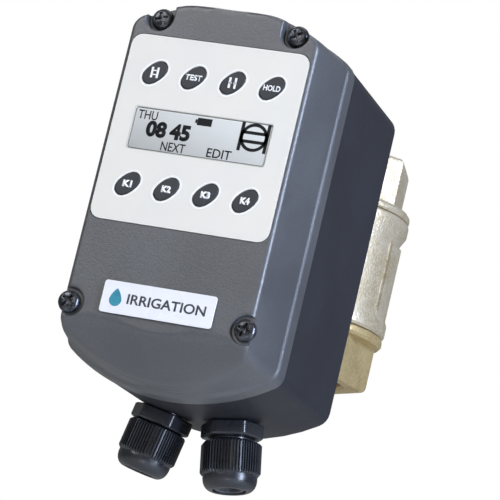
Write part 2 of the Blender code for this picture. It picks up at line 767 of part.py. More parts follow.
def valve_adapter():
    """The neck between head and valve, its screws and the coupling inside it."""
    back = PANEL_Y + HEAD_DEPTH
    seal_end = PANEL_Y + 94.8
    profile = [
        (10.0, back + GAP), (27.0, back + GAP), (27.0, back + 5.0), (20.5, back + 7.0),
        (18.0, back + 12.0), (18.0, -34.0), (BOSS_RADIUS + GAP, -34.0),
        (BOSS_RADIUS + GAP, seal_end), (10.0, seal_end),
    ]
    neck = shaft_y("valve_adapter", profile, 32, "black_nylon", closed=True)
    for x, z in ADAPTER_SCREWS:
        cut(neck, rod(x, z, ADAPTER_SCREW_RADIUS + GAP, back - 1, back + 6.0 + GAP, 16))
    finish(neck)
    for number, (x, z) in enumerate(ADAPTER_SCREWS, start=1):
        name = "adapter_screw_%d" % number
        made = pan_screw(name, ADAPTER_SCREW_RADIUS, 3.6, 2.4, 9.0, "bright_steel")
        finish(made)
        made.location = Vector((x, PANEL_Y + BACK_INNER - GAP, z)) * MM
    # A hollow square sleeve joins the two square shaft ends.
    outer = shaft_y("drive_coupling", [(9.5, -65.0), (9.5, -51.4)], 20, "bright_steel")
    half = SQUARE / 2 + GAP
    square = [(half, half), (-half, half), (-half, -half), (half, -half)]
    cut(outer, prism("square", square, -70.0, -40.0))
    finish(outer)


# ---------------------------------------------------------------- ball valve


def hex_end(name, sign):
    """One screwed end of the valve: hexagon, short flange and threaded spigot."""
    seam, hex_start, turn = VALVE_ENDS[sign]
    half = VALVE_LENGTH / 2
    points = hexagon(HEX_WIDTH, turn)
    rings = []
    for scale, z in ((1.0, hex_start - 0.8), (1.0, half - 2.0), (0.985, half - 0.8), (0.94, half)):
        rings.append([(x * scale, y * scale, sign * z) for x, y in points])
    made = loft(name, rings, "nickel_brass")
    profile = [
        (CAVITY_RADIUS - GAP, 18.6), (CAVITY_RADIUS - GAP, seam + GAP),
        (26.4, seam + GAP), (27.0, seam + 1.0), (27.0, hex_start - 1.2),
        (26.0, hex_start), (21.0, hex_start + 0.4),
    ]
    fuse(made, turned("flange", [(r, sign * z) for r, z in profile], VALVE_STEPS))
    cut(made, turned("bore", [(BORE_RADIUS, 0.0), (BORE_RADIUS, sign * 60.0)], 28))
    thread = [(PORT_RADIUS, sign * (half - PORT_DEPTH)), (PORT_RADIUS, sign * (half - 1.2)),
              (PORT_RADIUS + 1.4, sign * (half + 0.2))]
    cut(made, turned("port", thread, 28))
    return finish(made)


def valve():
    """Body, both ends, ball, seats, stem, packing and packing nut."""
    upper, lower = VALVE_ENDS[1][0], VALVE_ENDS[-1][0]
    profile = [
        (26.4, -lower), (COLLAR_RADIUS, -lower + 1.0), (COLLAR_RADIUS, -18.5),
        (BODY_RADIUS, -14.0), (BODY_RADIUS, 14.0), (COLLAR_RADIUS, 18.0),
        (COLLAR_RADIUS, upper - 1.0), (26.4, upper),
    ]
    body = turned("valve_body", profile, VALVE_STEPS, "nickel_brass")
    for side in (-1, 1):
        fuse(body, box("pad", (side * 22.4, 0, PAD_Z), PAD_SIZE))
    boss = [(BOSS_RADIUS, BOSS_END), (BOSS_RADIUS, -33.7), (17.8, -33.7), (17.8, -18.0)]
    fuse(body, shaft_y("boss", boss, 28))
    cavity = [(CAVITY_RADIUS, -30.0), (CAVITY_RADIUS, 30.0)]
    cut(body, turned("cavity", cavity, 32))
    cut(body, rod(0, 0, 6.0 + GAP, -60, 0, 20))
    cut(body, rod(0, 0, 9.3 + GAP, -60, -36.0, 20))
    finish(body)
    hex_end("valve_end_upper", 1)
    hex_end("valve_end_lower", -1)

    bm = bmesh.new()
    bmesh.ops.create_uvsphere(bm, u_segments=24, v_segments=14, radius=BALL_RADIUS)
    ball = solid("valve_ball", bm, "chrome_ball")
    cut(ball, turned("bore", [(BORE_RADIUS, -25.0), (BORE_RADIUS, 25.0)], 28))
    cut(ball, box("slot", (0, -BALL_RADIUS, 0), (4.8, 7.0, 50.0)))
    finish(ball)
    for name, sign in (("seat_ring_upper", 1), ("seat_ring_lower", -1)):
        profile = []
        for radius in (BORE_RADIUS, 14.2, 16.0, 17.6):
            touch = sqrt((BALL_RADIUS + GAP) ** 2 - radius**2)
            profile.append((radius, sign * touch))
        profile += [(17.6, sign * 18.3), (BORE_RADIUS, sign * 18.3)]
        finish(turned(name, profile, 28, "ptfe_white", closed=True))

    stem = shaft_y("valve_stem", [(6.0, -51.0), (6.0, -19.5)], 20, "bright_steel")
    half = SQUARE / 2
    square = [(half, half), (-half, half), (-half, -half), (half, -half)]
    fuse(stem, prism("square", square, -57.6, -50.0))
    fuse(stem, box("tang", (0, -18.2, 0), (4.2, 4.0, 11.0)))
    finish(stem)
    profile = [(6.3, -36.3 - 4.5), (9.3, -36.3 - 4.5), (9.3, -36.3), (6.3, -36.3)]
    finish(shaft_y("stem_packing", profile, 20, "ptfe_white", closed=True))
    profile = [(6.3, -49.0), (11.0, -49.0), (11.0, BOSS_END - GAP), (9.3, BOSS_END - GAP),
               (9.3, -41.1), (6.3, -41.1)]
    finish(shaft_y("packing_nut", profile, 18, "brass", closed=True))


# --------------------------------------------------------------- cable glands


def gland_matrix(side):
    """Place of a gland in the head's frame; its own -Z points out of the housing."""
    sign = -1 if side == "left" else 1
    low = BASE_STATIONS[0][2] + 0.4
    lift = ARCH_RADIUS - sqrt(ARCH_RADIUS**2 - GLAND_X**2)
    place = Matrix.Translation(Vector((sign * GLAND_X, GLAND_D, low + lift)) * MM)
    return place @ Matrix.Rotation(radians(-sign * GLAND_TILT), 4, "Y")


def cable_gland(side, head):
    """Gland body, lock nut, rubber insert and cap nut, on one tilted axis."""
    axis = bpy.data.objects.new("gland_axis_" + side, None)
    bpy.context.collection.objects.link(axis)
    axis.parent = head
    axis.matrix_local = gland_matrix(side)
    outline = hexagon(GLAND_WIDTH, GLAND_TURN, 1.2, 2)
    rings = [[(x, y, z) for x, y in outline] for z in (-GAP, -5.5)]
    made = loft("gland_body_" + side, rings, "black_nylon")
    thread = [(GLAND_THREAD, 10.5), (GLAND_THREAD, -7.8), (7.3, -8.1), (7.3, -8.6),
              (GLAND_THREAD, -8.9), (GLAND_THREAD, -16.0)]
    fuse(made, turned("thread", thread, 20))
    cut(made, turned("way", [(5.0, 12.0), (5.0, -12.0)], 16))
    cut(made, turned("seat", [(6.8, -6.5), (6.8, -20.0)], 18))
    finish(made, axis)

    wall_end = WALL + GAP + 1.2
    nut = [[(x, y, z) for x, y in hexagon(GLAND_WIDTH)] for z in (wall_end, wall_end + 4.0)]
    made = loft("gland_locknut_" + side, nut, "black_nylon")
    cut(made, turned("hole", [(GLAND_THREAD + GAP, 0.0), (GLAND_THREAD + GAP, 12.0)], 20))
    finish(made, axis)

    start = CAP_START[side]
    tip = start + CAP_LENGTH
    shoulder = tip - 2.6
    nose = MOUTH_RADIUS - GAP
    profile = [
        (CABLE_RADIUS, -7.0), (6.5, -7.0), (6.5, -(shoulder - GAP)),
        (nose, -(shoulder - GAP)), (nose, -(tip - 0.4)), (CABLE_RADIUS, -(tip - 0.4)),
    ]
    finish(turned("gland_insert_" + side, profile, 16, "seal_rubber", closed=True), axis)

    hex_cap = hexagon(CAP_WIDTH, CAP_TURN, 5.0, 3)
    rings = []
    for scale, s in ((0.93, 0.0), (1.0, 0.8), (1.0, 11.5)):
        rings.append([(x * scale, y * scale, -(start + s)) for x, y in hex_cap])
    count = len(hex_cap)
    for radius, s in ((9.7, 12.3), (9.6, 14.0), (8.9, 15.9), (7.5, CAP_LENGTH)):
        ring = []
        for x, y in hex_cap:
            reach = sqrt(x * x + y * y)
            ring.append((x / reach * radius, y / reach * radius, -(start + s)))
        rings.append(ring)
    made = loft("gland_cap_" + side, rings, "black_nylon")
    cut(made, turned("inside", [(8.2, 0.0), (8.2, -shoulder)], 20))
    cut(made, turned("mouth", [(MOUTH_RADIUS, -10.0), (MOUTH_RADIUS, -40.0)], 16))
    finish(made, axis)


def main():
    for old in list(bpy.data.objects):
        bpy.data.objects.remove(old)
    head = bpy.data.objects.new("controller_head", None)
    bpy.context.collection.objects.link(head)
    head.location = Vector((0, PANEL_Y, PANEL_Z)) * MM
    front_cover(head)
    rear_housing(head)
    cover_gasket(head)
    cover_screws(head)
    keypad(head)
    control_board(head)
    power_board(head)
    ribbon_cable(head)
    gear_train(head)
    output_bearing(bpy.data.objects["output_axis"])
    valve_adapter()
    valve()
    for side in ("left", "right"):
        cable_gland(side, head)
    bpy.context.view_layer.update()


main()
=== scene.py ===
"""Looks of the irrigation controller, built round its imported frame.

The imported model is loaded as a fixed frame, in metres, and every piece takes its place from
it. X points right along the keypad, Y from the keypad back to the valve, Z up the pipe.
"""

import json
from math import atan2, cos, hypot, pi, radians, sin

import bmesh
import bpy
from mathutils import Matrix, Vector


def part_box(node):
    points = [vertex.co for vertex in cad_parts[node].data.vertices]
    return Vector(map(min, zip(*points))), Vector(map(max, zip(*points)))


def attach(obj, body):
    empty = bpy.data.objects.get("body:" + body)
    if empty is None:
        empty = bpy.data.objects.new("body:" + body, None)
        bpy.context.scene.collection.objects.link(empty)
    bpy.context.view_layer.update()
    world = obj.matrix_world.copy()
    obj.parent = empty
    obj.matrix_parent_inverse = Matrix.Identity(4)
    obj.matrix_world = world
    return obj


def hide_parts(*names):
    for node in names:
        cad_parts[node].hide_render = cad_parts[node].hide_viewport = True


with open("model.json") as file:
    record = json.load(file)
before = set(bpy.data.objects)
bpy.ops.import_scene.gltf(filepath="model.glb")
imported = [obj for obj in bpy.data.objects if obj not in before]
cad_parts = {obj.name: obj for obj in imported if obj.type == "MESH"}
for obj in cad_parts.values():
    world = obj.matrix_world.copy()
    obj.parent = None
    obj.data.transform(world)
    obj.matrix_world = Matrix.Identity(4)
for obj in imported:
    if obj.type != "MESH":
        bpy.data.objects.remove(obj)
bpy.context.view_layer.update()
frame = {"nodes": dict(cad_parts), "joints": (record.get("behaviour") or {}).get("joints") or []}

bl_info = {
    "name": "Irrigation controller",
    "version": (1, 0, 0),
    "blender": (4, 5, 0),
    "location": "3D View > Sidebar > Controller",
    "description": "Builds the finished pieces of a motorised ball valve with a timer head",
    "category": "Object",
}

MM = 0.001
MERGE = 2e-6
FLAT = 0.6  # degrees between faces that are one flat face in the CAD
INK = 0.04 * MM  # how far printing and display segments stand proud, so that they show
FACING = Matrix.Rotation(pi / 2, 4, "X")  # turns a flat shape's face towards -Y


def srgb(text, alpha=1.0):
    """A hex colour as linear red, green, blue and alpha."""
    parts = [int(text[i : i + 2], 16) / 255 for i in (1, 3, 5)]
    linear = [p / 12.92 if p <= 0.04045 else ((p + 0.055) / 1.055) ** 2.4 for p in parts]
    return (*linear, alpha)


def middle_of(node):
    """The middle of a CAD node's box."""
    low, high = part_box(node)
    return (low + high) / 2


# ---------------------------------------------------------------- shape tools


def start_clean():
    """Leave edit mode with nothing selected."""
    if bpy.context.object and bpy.context.object.mode != "OBJECT":
        bpy.ops.object.mode_set(mode="OBJECT")
    bpy.ops.object.select_all(action="DESELECT")


def hold(piece):
    """Select one piece alone and make it active."""
    start_clean()
    piece.select_set(True)
    bpy.context.view_layer.objects.active = piece
    return piece


def edit(piece):
    """Open a piece for editing with its whole mesh selected."""
    hold(piece)
    bpy.ops.object.mode_set(mode="EDIT")
    bpy.ops.mesh.select_all(action="SELECT")


def leave(piece):
    """Leave edit mode."""
    bpy.ops.object.mode_set(mode="OBJECT")
    return piece


def named(name):
    """Name the object that an operator has just added."""
    piece = bpy.context.object
    piece.name = name
    piece.data.name = name
    return piece


def settle(piece):
    """Put a piece's place, turn and size into its mesh."""
    hold(piece)
    bpy.ops.object.transform_apply(location=True, rotation=True, scale=True)
    return piece


def joined(name, pieces):
    """Join several pieces into one."""
    start_clean()
    for piece in pieces:
        piece.select_set(True)
    bpy.context.view_layer.objects.active = pieces[0]
    if len(pieces) > 1:
        bpy.ops.object.join()
    return named(name)


def modified(piece, kind, **settings):
    """Add one modifier with its settings and apply it."""
    hold(piece)
    bpy.ops.object.modifier_add(type=kind)
    step = piece.modifiers[-1]
    for key, value in settings.items():
        setattr(step, key, value)
    bpy.ops.object.modifier_apply(modifier=step.name)
    return piece


def cut(piece, cutter):
    """Take a cutter's shape away from a piece and remove the cutter."""
    modified(piece, "BOOLEAN", object=cutter, operation="DIFFERENCE", solver="EXACT")
    bpy.data.objects.remove(cutter)


def softened(piece, width, segments=3, angle=28.0):
    """Round a piece's edges, as a mould or a tumbling drum leaves them."""
    modified(piece, "BEVEL", width=width, segments=segments, limit_method="ANGLE",
             angle_limit=radians(angle), miter_outer="MITER_ARC")
    return shaded(piece)


def shaded(piece, angle=32.0):
    """Smooth the shading and let the flat faces keep their own normals."""
    hold(piece)
    bpy.ops.object.shade_smooth_by_angle(angle=radians(angle))
    return modified(piece, "WEIGHTED_NORMAL", keep_sharp=True, weight=60)


def merged_copy(node, name):
    """A copy of a CAD node with its loose triangles merged back into faces."""
    piece = bpy.data.objects.new(name, frame["nodes"][node].data.copy())
    bpy.context.scene.collection.objects.link(piece)
    piece.data.name = name
    piece.data.materials.clear()
    hold(piece)
    bpy.ops.mesh.customdata_custom_splitnormals_clear()
    edit(piece)
    bpy.ops.mesh.remove_doubles(threshold=MERGE)
    bpy.ops.mesh.dissolve_limited(angle_limit=radians(FLAT))
    return leave(piece)


def set_ring(piece, reach, height):
    """Move the selected ring onto an outline; reach is a radius or a radius by angle."""
    bm = bmesh.from_edit_mesh(piece.data)
    for vert in bm.verts:
        if vert.select:
            angle = atan2(vert.co.y, vert.co.x)
            radius = reach(angle) if callable(reach) else reach
            vert.co = (radius * cos(angle), radius * sin(angle), height)
    bmesh.update_edit_mesh(piece.data)


def closed(piece, tube=False):
    """Cap the ends of a stack of rings, or join them round a tube; then scale it."""
    bpy.ops.mesh.select_all(action="DESELECT")
    bpy.ops.mesh.select_non_manifold()
    if tube:
        bpy.ops.mesh.bridge_edge_loops()
    else:
        bpy.ops.mesh.edge_face_add()
    bpy.ops.mesh.select_all(action="SELECT")
    bpy.ops.mesh.normals_make_consistent(inside=False)
    leave(piece)
    piece.data.transform(Matrix.Scale(MM, 4))
    return piece


def ring_stack(name, rings, segments, tube=False):
    """Extrude a circle ring by ring along Z; each ring is (radius, height) in millimetres."""
    start_clean()
    bpy.ops.mesh.primitive_circle_add(vertices=segments, radius=1.0)
    piece = named(name)
    bpy.ops.object.mode_set(mode="EDIT")
    for number, (reach, height) in enumerate(rings):
        if number:
            bpy.ops.mesh.extrude_region_move()
        set_ring(piece, reach, height)
    return closed(piece, tube)


def outline_stack(name, rings):
    """Extrude an outline ring by ring; each ring lists as many points, in millimetres."""
    def key(vert):
        return tuple(round(c, 4) for c in vert.co)
    start_clean()
    bpy.ops.mesh.primitive_circle_add(vertices=len(rings[0]), radius=1.0)
    piece = named(name)
    bpy.ops.object.mode_set(mode="EDIT")
    bm = bmesh.from_edit_mesh(piece.data)
    spots = {key(vert): i for i, vert in enumerate(bm.verts)}
    for number, ring in enumerate(rings):
        if number:
            bpy.ops.mesh.extrude_region_move()
        bm = bmesh.from_edit_mesh(piece.data)
        after = {}
        for vert in bm.verts:
            if vert.select:
                index = spots[key(vert)]
                vert.co = ring[index]
                after[key(vert)] = index
        spots = after
        bmesh.update_edit_mesh(piece.data)
    return closed(piece)


def hexagon_reach(width, turn, corner):
    """Radius by angle of a hexagon across its flats, with its corners rounded."""
    def reach(angle):
        sector = (angle - radians(turn) + pi / 6) % (pi / 3) - pi / 6
        flat = width / 2 / cos(pi / 6 - abs(sector))
        rounded = width / 2 / cos(pi / 6) - corner * (1 / cos(pi / 6) - 1)
        blend = 0.12
        gap = flat - rounded
        return (flat + rounded - hypot(gap, blend)) / 2
    return reach


def patch(size, centre, turn=0.0, corner=0.0):
    """A flat rectangle in the panel's plane, facing -Y, with its corners rounded."""
    start_clean()
    bpy.ops.mesh.primitive_plane_add(size=1.0)
    piece = bpy.context.object
    piece.scale = (size[0], size[1], 1.0)
    settle(piece)
    if corner:
        edit(piece)
        bpy.ops.mesh.bevel(offset=corner, segments=6, affect="VERTICES")
        leave(piece)
    turning = Matrix.Rotation(radians(turn), 4, "Z")
    piece.data.transform(Matrix.Translation(centre) @ FACING @ turning)
    return piece


def disc(radius, centre, squash=1.0, turn=0.0, steps=48, power=2.0):
    """A flat oval in the panel's plane, facing -Y; a higher power makes it fuller."""
    start_clean()
    bpy.ops.mesh.primitive_circle_add(vertices=steps, radius=1.0, fill_type="NGON")
    piece = bpy.context.object
    bpy.ops.object.mode_set(mode="EDIT")
    def fuller(angle):
        return (abs(cos(angle)) ** power + abs(sin(angle)) ** power) ** (-1 / power)
    set_ring(piece, fuller, 0.0)
    leave(piece)
    size = Matrix.Diagonal((radius, radius * squash, 1.0, 1.0))
    turning = Matrix.Rotation(radians(turn), 4, "Z")
    piece.data.transform(Matrix.Translation(centre) @ FACING @ turning @ size)
    return piece


def hollow(piece, line):
    """Leave only a border of this width round a flat face."""
    edit(piece)
    bpy.ops.mesh.inset(thickness=line)
    bpy.ops.mesh.delete(type="FACE")
    return leave(piece)


def thickened(piece, depth):
    """Extrude a flat shape forwards by depth and close it."""
    edit(piece)
    bpy.ops.mesh.extrude_region_move(TRANSFORM_OT_translate={"value": (0, -depth, 0)})
    bpy.ops.mesh.select_all(action="SELECT")
    bpy.ops.mesh.normals_make_consistent(inside=False)
    return leave(piece)


def lettering(words, centre, width, height, bold=0.0):
    """Flat letters in the panel's plane, fitted to a width and height."""
    start_clean()
    bpy.ops.object.text_add()
    text = bpy.context.object
    text.data.body = words
    text.data.offset = bold
    text.data.resolution_u = 4
    bpy.ops.object.convert(target="MESH")
    piece = bpy.context.object
    across = [v.co.x for v in piece.data.vertices]
    up = [v.co.y for v in piece.data.vertices]
    size = (max(across) - min(across), max(up) - min(up))
    middle = Vector(((max(across) + min(across)) / 2, (max(up) + min(up)) / 2, 0))
    scale = Matrix.Diagonal((width / size[0], height / size[1], 1.0, 1.0))
    piece.data.transform(Matrix.Translation(centre) @ FACING @ scale
                         @ Matrix.Translation(-middle))
    edit(piece)
    bpy.ops.mesh.remove_doubles(threshold=MERGE)
    return leave(piece)


def printed(name, shapes):
    """Several flat shapes as one thin layer of ink or display segments."""
    return thickened(joined(name, shapes), INK)


def fitted(piece, finish, body, slot, *nodes):
    """Give a piece its material, its body and the CAD nodes it stands for; slot is not used."""
    piece.data.materials.clear()
    piece.data.materials.append(finish)
    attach(piece, body)
    if nodes:
        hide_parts(*nodes)


# ------------------------------------------------------------------ materials


def add(tree, kind, values=None, links=None, **settings):
    """Add a node with its settings, its input values and the outputs that feed it."""
    made = tree.nodes.new(kind)
    for key, value in settings.items():
        setattr(made, key, value)
    for key, value in (values or {}).items():
        made.inputs[key].default_value = value
    for key, source in (links or {}).items():
        tree.links.new(source, made.inputs[key])
    return made


def per_mm(size):
    """A pattern's scale on metre coordinates for features of this size in millimetres."""
    return 1.0 / (size * MM)


FINISHES = {}


def surface(key, name, colour, second, roughness, grain, relief, blotch=18.0, spread=0.35,
            metallic=0.0, coat=0.0, wander=0.08, stretch=(1.0, 1.0, 1.0), specular=0.5):
    """A finish with grain of this size and relief in millimetres and blotches of colour.

    colour fills the surface and second shows in its blotches and grain; each is a hex
    text or a linear colour. The finish is kept under its key.
    """
    made = bpy.data.materials.new(name)
    FINISHES[key] = made
    made.use_nodes = True
    tree = made.node_tree
    shader = tree.nodes["Principled BSDF"]
    shader.inputs["Metallic"].default_value = metallic
    shader.inputs["Coat Weight"].default_value = coat
    shader.inputs["Specular IOR Level"].default_value = specular
    place = add(tree, "ShaderNodeTexCoord")
    laid = add(tree, "ShaderNodeMapping", {"Scale": stretch},
               {"Vector": place.outputs["Object"]})
    fine = add(tree, "ShaderNodeTexNoise", {"Scale": per_mm(grain), "Detail": 3.0},
               {"Vector": laid.outputs["Vector"]})
    broad = add(tree, "ShaderNodeTexNoise", {"Scale": per_mm(blotch), "Detail": 4.0},
                {"Vector": laid.outputs["Vector"]})
    both = add(tree, "ShaderNodeMath", links={0: fine.outputs["Fac"], 1: broad.outputs["Fac"]},
               operation="MULTIPLY")
    ramp = add(tree, "ShaderNodeMapRange",
               {"From Min": 0.16, "From Max": 0.36, "To Min": 0.0, "To Max": spread},
               {"Value": both.outputs["Value"]})
    mix = add(tree, "ShaderNodeMix", data_type="RGBA")
    for socket, tone in ((6, colour), (7, second)):
        mix.inputs[socket].default_value = srgb(tone) if isinstance(tone, str) else tone
    tree.links.new(ramp.outputs["Result"], mix.inputs["Factor"])
    tree.links.new(mix.outputs[2], shader.inputs["Base Color"])
    shine = add(tree, "ShaderNodeMapRange",
                {"From Min": 0.3, "From Max": 0.7, "To Min": roughness - wander,
                 "To Max": roughness + wander}, {"Value": broad.outputs["Fac"]})
    tree.links.new(shine.outputs["Result"], shader.inputs["Roughness"])
    bump = add(tree, "ShaderNodeBump", {"Strength": 1.0, "Distance": relief * MM},
               {"Height": fine.outputs["Fac"]})
    tree.links.new(bump.outputs["Normal"], shader.inputs["Normal"])
    return made


def make_finishes(colours):
    """Every finish on the controller, by the name of what it is."""
    # Powder coat over die-cast metal: satin, with a fine even orange-peel grain.
    surface("powder coat", "satin powder coat on die-cast cover", colours.cover, "#5a5c60", 0.39,
            grain=0.55, relief=0.08, blotch=30.0, spread=0.5, wander=0.04, specular=1.0)
    # Spark-eroded ABS: darker, matt, with a coarser grain that breaks up its reflections.
    surface("housing", "moulded ABS rear housing", colours.housing, "#33353d", 0.5,
            grain=0.7, relief=0.04, blotch=35.0, spread=0.35, specular=0.25)
    # Polyester foil with a fine velvet surface: even light grey, barely glossy.
    surface("foil", "velvet polyester front foil", colours.fascia, "#d8d8d5", 0.5,
            grain=0.25, relief=0.006, blotch=22.0, spread=0.4)
    # Gloss-printed plate: whiter and smoother than the foil round it.
    surface("plate", "gloss printed name plate", "#ebebee", "#dcdde3", 0.28,
            grain=0.4, relief=0.004, blotch=16.0, spread=0.35, coat=0.3)
    # Silicone keys: charcoal with a soft sheen and a few worn lighter patches.
    surface("keys", "moulded silicone keys", colours.keys, "#383b41", 0.48,
            grain=0.3, relief=0.01, blotch=3.0, spread=0.5)
    # Screen-printing inks, matt and slightly uneven.
    surface("white ink", "white printing ink", "#f4f4f2", "#dcdcd8", 0.55,
            grain=0.2, relief=0.004, blotch=2.0, spread=0.5)
    surface("border ink", "grey-cream printing ink", "#c9c9bf", "#a9a9a0", 0.5,
            grain=0.2, relief=0.004, blotch=2.0, spread=0.5)
    surface("dark ink", "charcoal printing ink", "#33363c", "#4b4e55", 0.5,
            grain=0.2, relief=0.004, blotch=2.0, spread=0.5)
    surface("water ink", "blue-green printing ink", "#1f7f96", "#3d9aa8", 0.45,
            grain=0.2, relief=0.004, blotch=2.0, spread=0.5)
    # Display segments: near black, slightly blue, a little glossy under the pane.
    surface("segments", "display segments", "#0c0d0f", "#1b1d20", 0.45,
            grain=0.35, relief=0.003, blotch=2.0, spread=0.5, specular=0.2)
    # Injection-moulded nylon: black with a wet gloss, softened by a faint flow texture.
    surface("nylon", "moulded black nylon", "#191b20", "#292d35", 0.3,
            grain=0.8, relief=0.012, blotch=6.0, spread=0.4, wander=0.05, specular=0.7)
    # Neoprene: dark grey and dull, with dust in its pores.
    surface("neoprene", "neoprene seals", "#3c3d40", "#77787c", 0.75,
            grain=0.4, relief=0.02, blotch=4.0, spread=0.5)
    # Black-oxide steel: dark with lighter patches at random and an oily sheen.
    surface("black steel", "black-oxide steel screws", "#303237", "#7c7f86", 0.24,
            grain=0.5, relief=0.02, blotch=2.5, spread=0.6, metallic=0.85)
    # Zinc plate: bright, slightly blue, with a fine drawn grain.
    surface("zinc", "zinc-plated steel", "#b6b9be", "#8e9297", 0.32,
            grain=0.4, relief=0.01, blotch=5.0, spread=0.6, metallic=1.0)
    # Nickel plate on cast brass: silver, warmer where the plate is thin, with cast pitting.
    surface("nickel", "nickel-plated cast brass", colours.nickel, "#9a885f", 0.46,
            grain=0.9, relief=0.16, blotch=9.0, spread=0.65, metallic=0.5, wander=0.07)
    # The same plate on the turned lower end, tinted warmer all over: a painted warm reflection.
    surface("nickel with painted reflection", "nickel plate on turned brass with painted warm reflection",
            colours.nickel_with_painted_reflection, "#a08a5e", 0.44,
            grain=0.9, relief=0.08, blotch=12.0, spread=0.8, metallic=0.5, wander=0.07)
    # Hard chrome on the ball: mirror with hairline wear.
    surface("chrome", "hard chrome", "#d9dbde", "#b4b7bb", 0.1,
            grain=0.3, relief=0.002, blotch=8.0, spread=0.3, metallic=1.0, wander=0.04)
    # Turned brass: yellow with fine tool marks round the axis.
    surface("brass", "turned brass", "#c9a54f", "#9c7a34", 0.3,
            grain=0.3, relief=0.01, blotch=4.0, spread=0.5, metallic=1.0)
    # PTFE: waxy white.
    surface("ptfe", "PTFE seats and packing", "#ecebe6", "#d3d1c9", 0.42,
            grain=0.5, relief=0.006, blotch=5.0)
    # Acetal: cream, smooth, slightly waxy.
    surface("acetal", "moulded acetal gears", "#dcd8c8", "#c3bda6", 0.38,
            grain=0.5, relief=0.008, blotch=6.0)
    # Solder mask over copper: green with darker track areas.
    surface("solder mask", "green solder mask", "#1d6a3a", "#0f4a27", 0.35,
            grain=1.0, relief=0.02, blotch=5.0, spread=0.9)
    surface("black moulding", "black moulded parts", "#1d1d1f", "#333337", 0.5,
            grain=0.5, relief=0.01, blotch=5.0)
    surface("terminal", "green moulded terminals", "#2c8a57", "#1d6b41", 0.42,
            grain=0.6, relief=0.01, blotch=5.0)
    # Lacquered steel laminations: grey with a fine stack of lines.
    surface("laminations", "lacquered steel laminations", "#6f7174", "#46484b", 0.42,
            grain=0.5, relief=0.03, blotch=6.0, spread=0.6, metallic=0.6, stretch=(0.2, 3.0,
            0.2))
    # PVC ribbon: grey, with its wires as fine ridges along it.
    surface("ribbon", "grey PVC ribbon", "#9a9ba0", "#7d7e83", 0.5,
            grain=0.8, relief=0.05, blotch=6.0, stretch=(1.6, 0.1, 0.1))
    # Liquid crystal behind acrylic: grey under a clear gloss.
    surface("display", "liquid crystal under acrylic", "#b6b6ae", "#a5a59e", 0.22,
            grain=0.4, relief=0.002, blotch=9.0, spread=0.5, coat=0.6, wander=0.03)
    # Painted light: the liquid crystal is made lighter towards its upper right corner.
    paint_light_on_display()


def paint_light_on_display():
    """Paint light onto the liquid crystal: lighter towards its upper right corner."""
    tree = FINISHES["display"].node_tree
    shader = tree.nodes["Principled BSDF"]
    plain = shader.inputs["Base Color"].links[0].from_socket
    low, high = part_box("display_window")
    place = add(tree, "ShaderNodeTexCoord")
    parts = add(tree, "ShaderNodeSeparateXYZ", links={0: place.outputs["Object"]})
    across = add(tree, "ShaderNodeMapRange",
                 {"From Min": low.x, "From Max": high.x, "To Min": 0.0, "To Max": 0.5},
                 {"Value": parts.outputs["X"]})
    up = add(tree, "ShaderNodeMapRange",
             {"From Min": low.z, "From Max": high.z, "To Min": 0.0, "To Max": 0.5},
             {"Value": parts.outputs["Z"]})
    total = add(tree, "ShaderNodeMath", links={0: across.outputs[0], 1: up.outputs[0]},
                operation="ADD")
    # The painted light: a ramp from pale grey at the lower left to near white at the upper
    # right.
    light = add(tree, "ShaderNodeValToRGB", links={"Fac": total.outputs[0]})
    light.color_ramp.elements[0].color = srgb("#a2a4a2")
    light.color_ramp.elements[1].color = srgb("#eceeec")
    mix = add(tree, "ShaderNodeMix", {"Factor": 0.75}, data_type="RGBA")
    tree.links.new(plain, mix.inputs[6])
    tree.links.new(light.outputs["Color"], mix.inputs[7])
    tree.links.new(mix.outputs[2], shader.inputs["Base Color"])


# --------------------------------------------------------- sizes and colours


class ControllerSizes(bpy.types.PropertyGroup):
    """Sizes that the finished pieces add to the frame."""

    cover_edge: bpy.props.FloatProperty(
        name="Cover edge", description="Radius on the cover's edges",
        default=2.1 * MM, min=0.0001, max=0.003, unit="LENGTH")
    housing_edge: bpy.props.FloatProperty(
        name="Housing edge", description="Radius on the rear housing's edges",
        default=0.5 * MM, min=0.0001, max=0.003, unit="LENGTH")
    casting_edge: bpy.props.FloatProperty(
        name="Casting edge", description="Radius on the valve's cast edges",
        default=0.8 * MM, min=0.0001, max=0.003, unit="LENGTH")
    cap_ribs: bpy.props.IntProperty(
        name="Cap ribs", description="Grip ribs round each gland cap",
        default=60, min=12, max=90)
    legend_height: bpy.props.FloatProperty(
        name="Legend height", description="Height of the letters on the keys",
        default=2.5 * MM, min=0.001, max=0.004, unit="LENGTH")


class ControllerColours(bpy.types.PropertyGroup):
    """Colours of the controller's main finishes."""

    cover: bpy.props.FloatVectorProperty(
        name="Cover", description="Powder coat on the cover", subtype="COLOR", size=4,
        default=srgb("#414347"), min=0.0, max=1.0)
    housing: bpy.props.FloatVectorProperty(
        name="Housing", description="Plastic of the rear housing", subtype="COLOR", size=4,
        default=srgb("#232429"), min=0.0, max=1.0)
    fascia: bpy.props.FloatVectorProperty(
        name="Fascia", description="Foil of the keypad", subtype="COLOR", size=4,
        default=srgb("#e0dcd3"), min=0.0, max=1.0)
    keys: bpy.props.FloatVectorProperty(
        name="Keys", description="Silicone of the keys", subtype="COLOR", size=4,
        default=srgb("#24262b"), min=0.0, max=1.0)
    nickel: bpy.props.FloatVectorProperty(
        name="Nickel", description="Plating on the valve", subtype="COLOR", size=4,
        default=srgb("#cabfa9"), min=0.0, max=1.0)
    # Painted warm reflection: the tone given to the valve's lower end.
    nickel_with_painted_reflection: bpy.props.FloatVectorProperty(
        name="Nickel with painted reflection", description="Painted warm reflection on the valve's lower end",
        subtype="COLOR", size=4, default=srgb("#c6b283"), min=0.0, max=1.0)


class StepOperator:
    """What every building step shares."""

    bl_options = {"REGISTER", "UNDO"}


# ------------------------------------------------------------------- operators


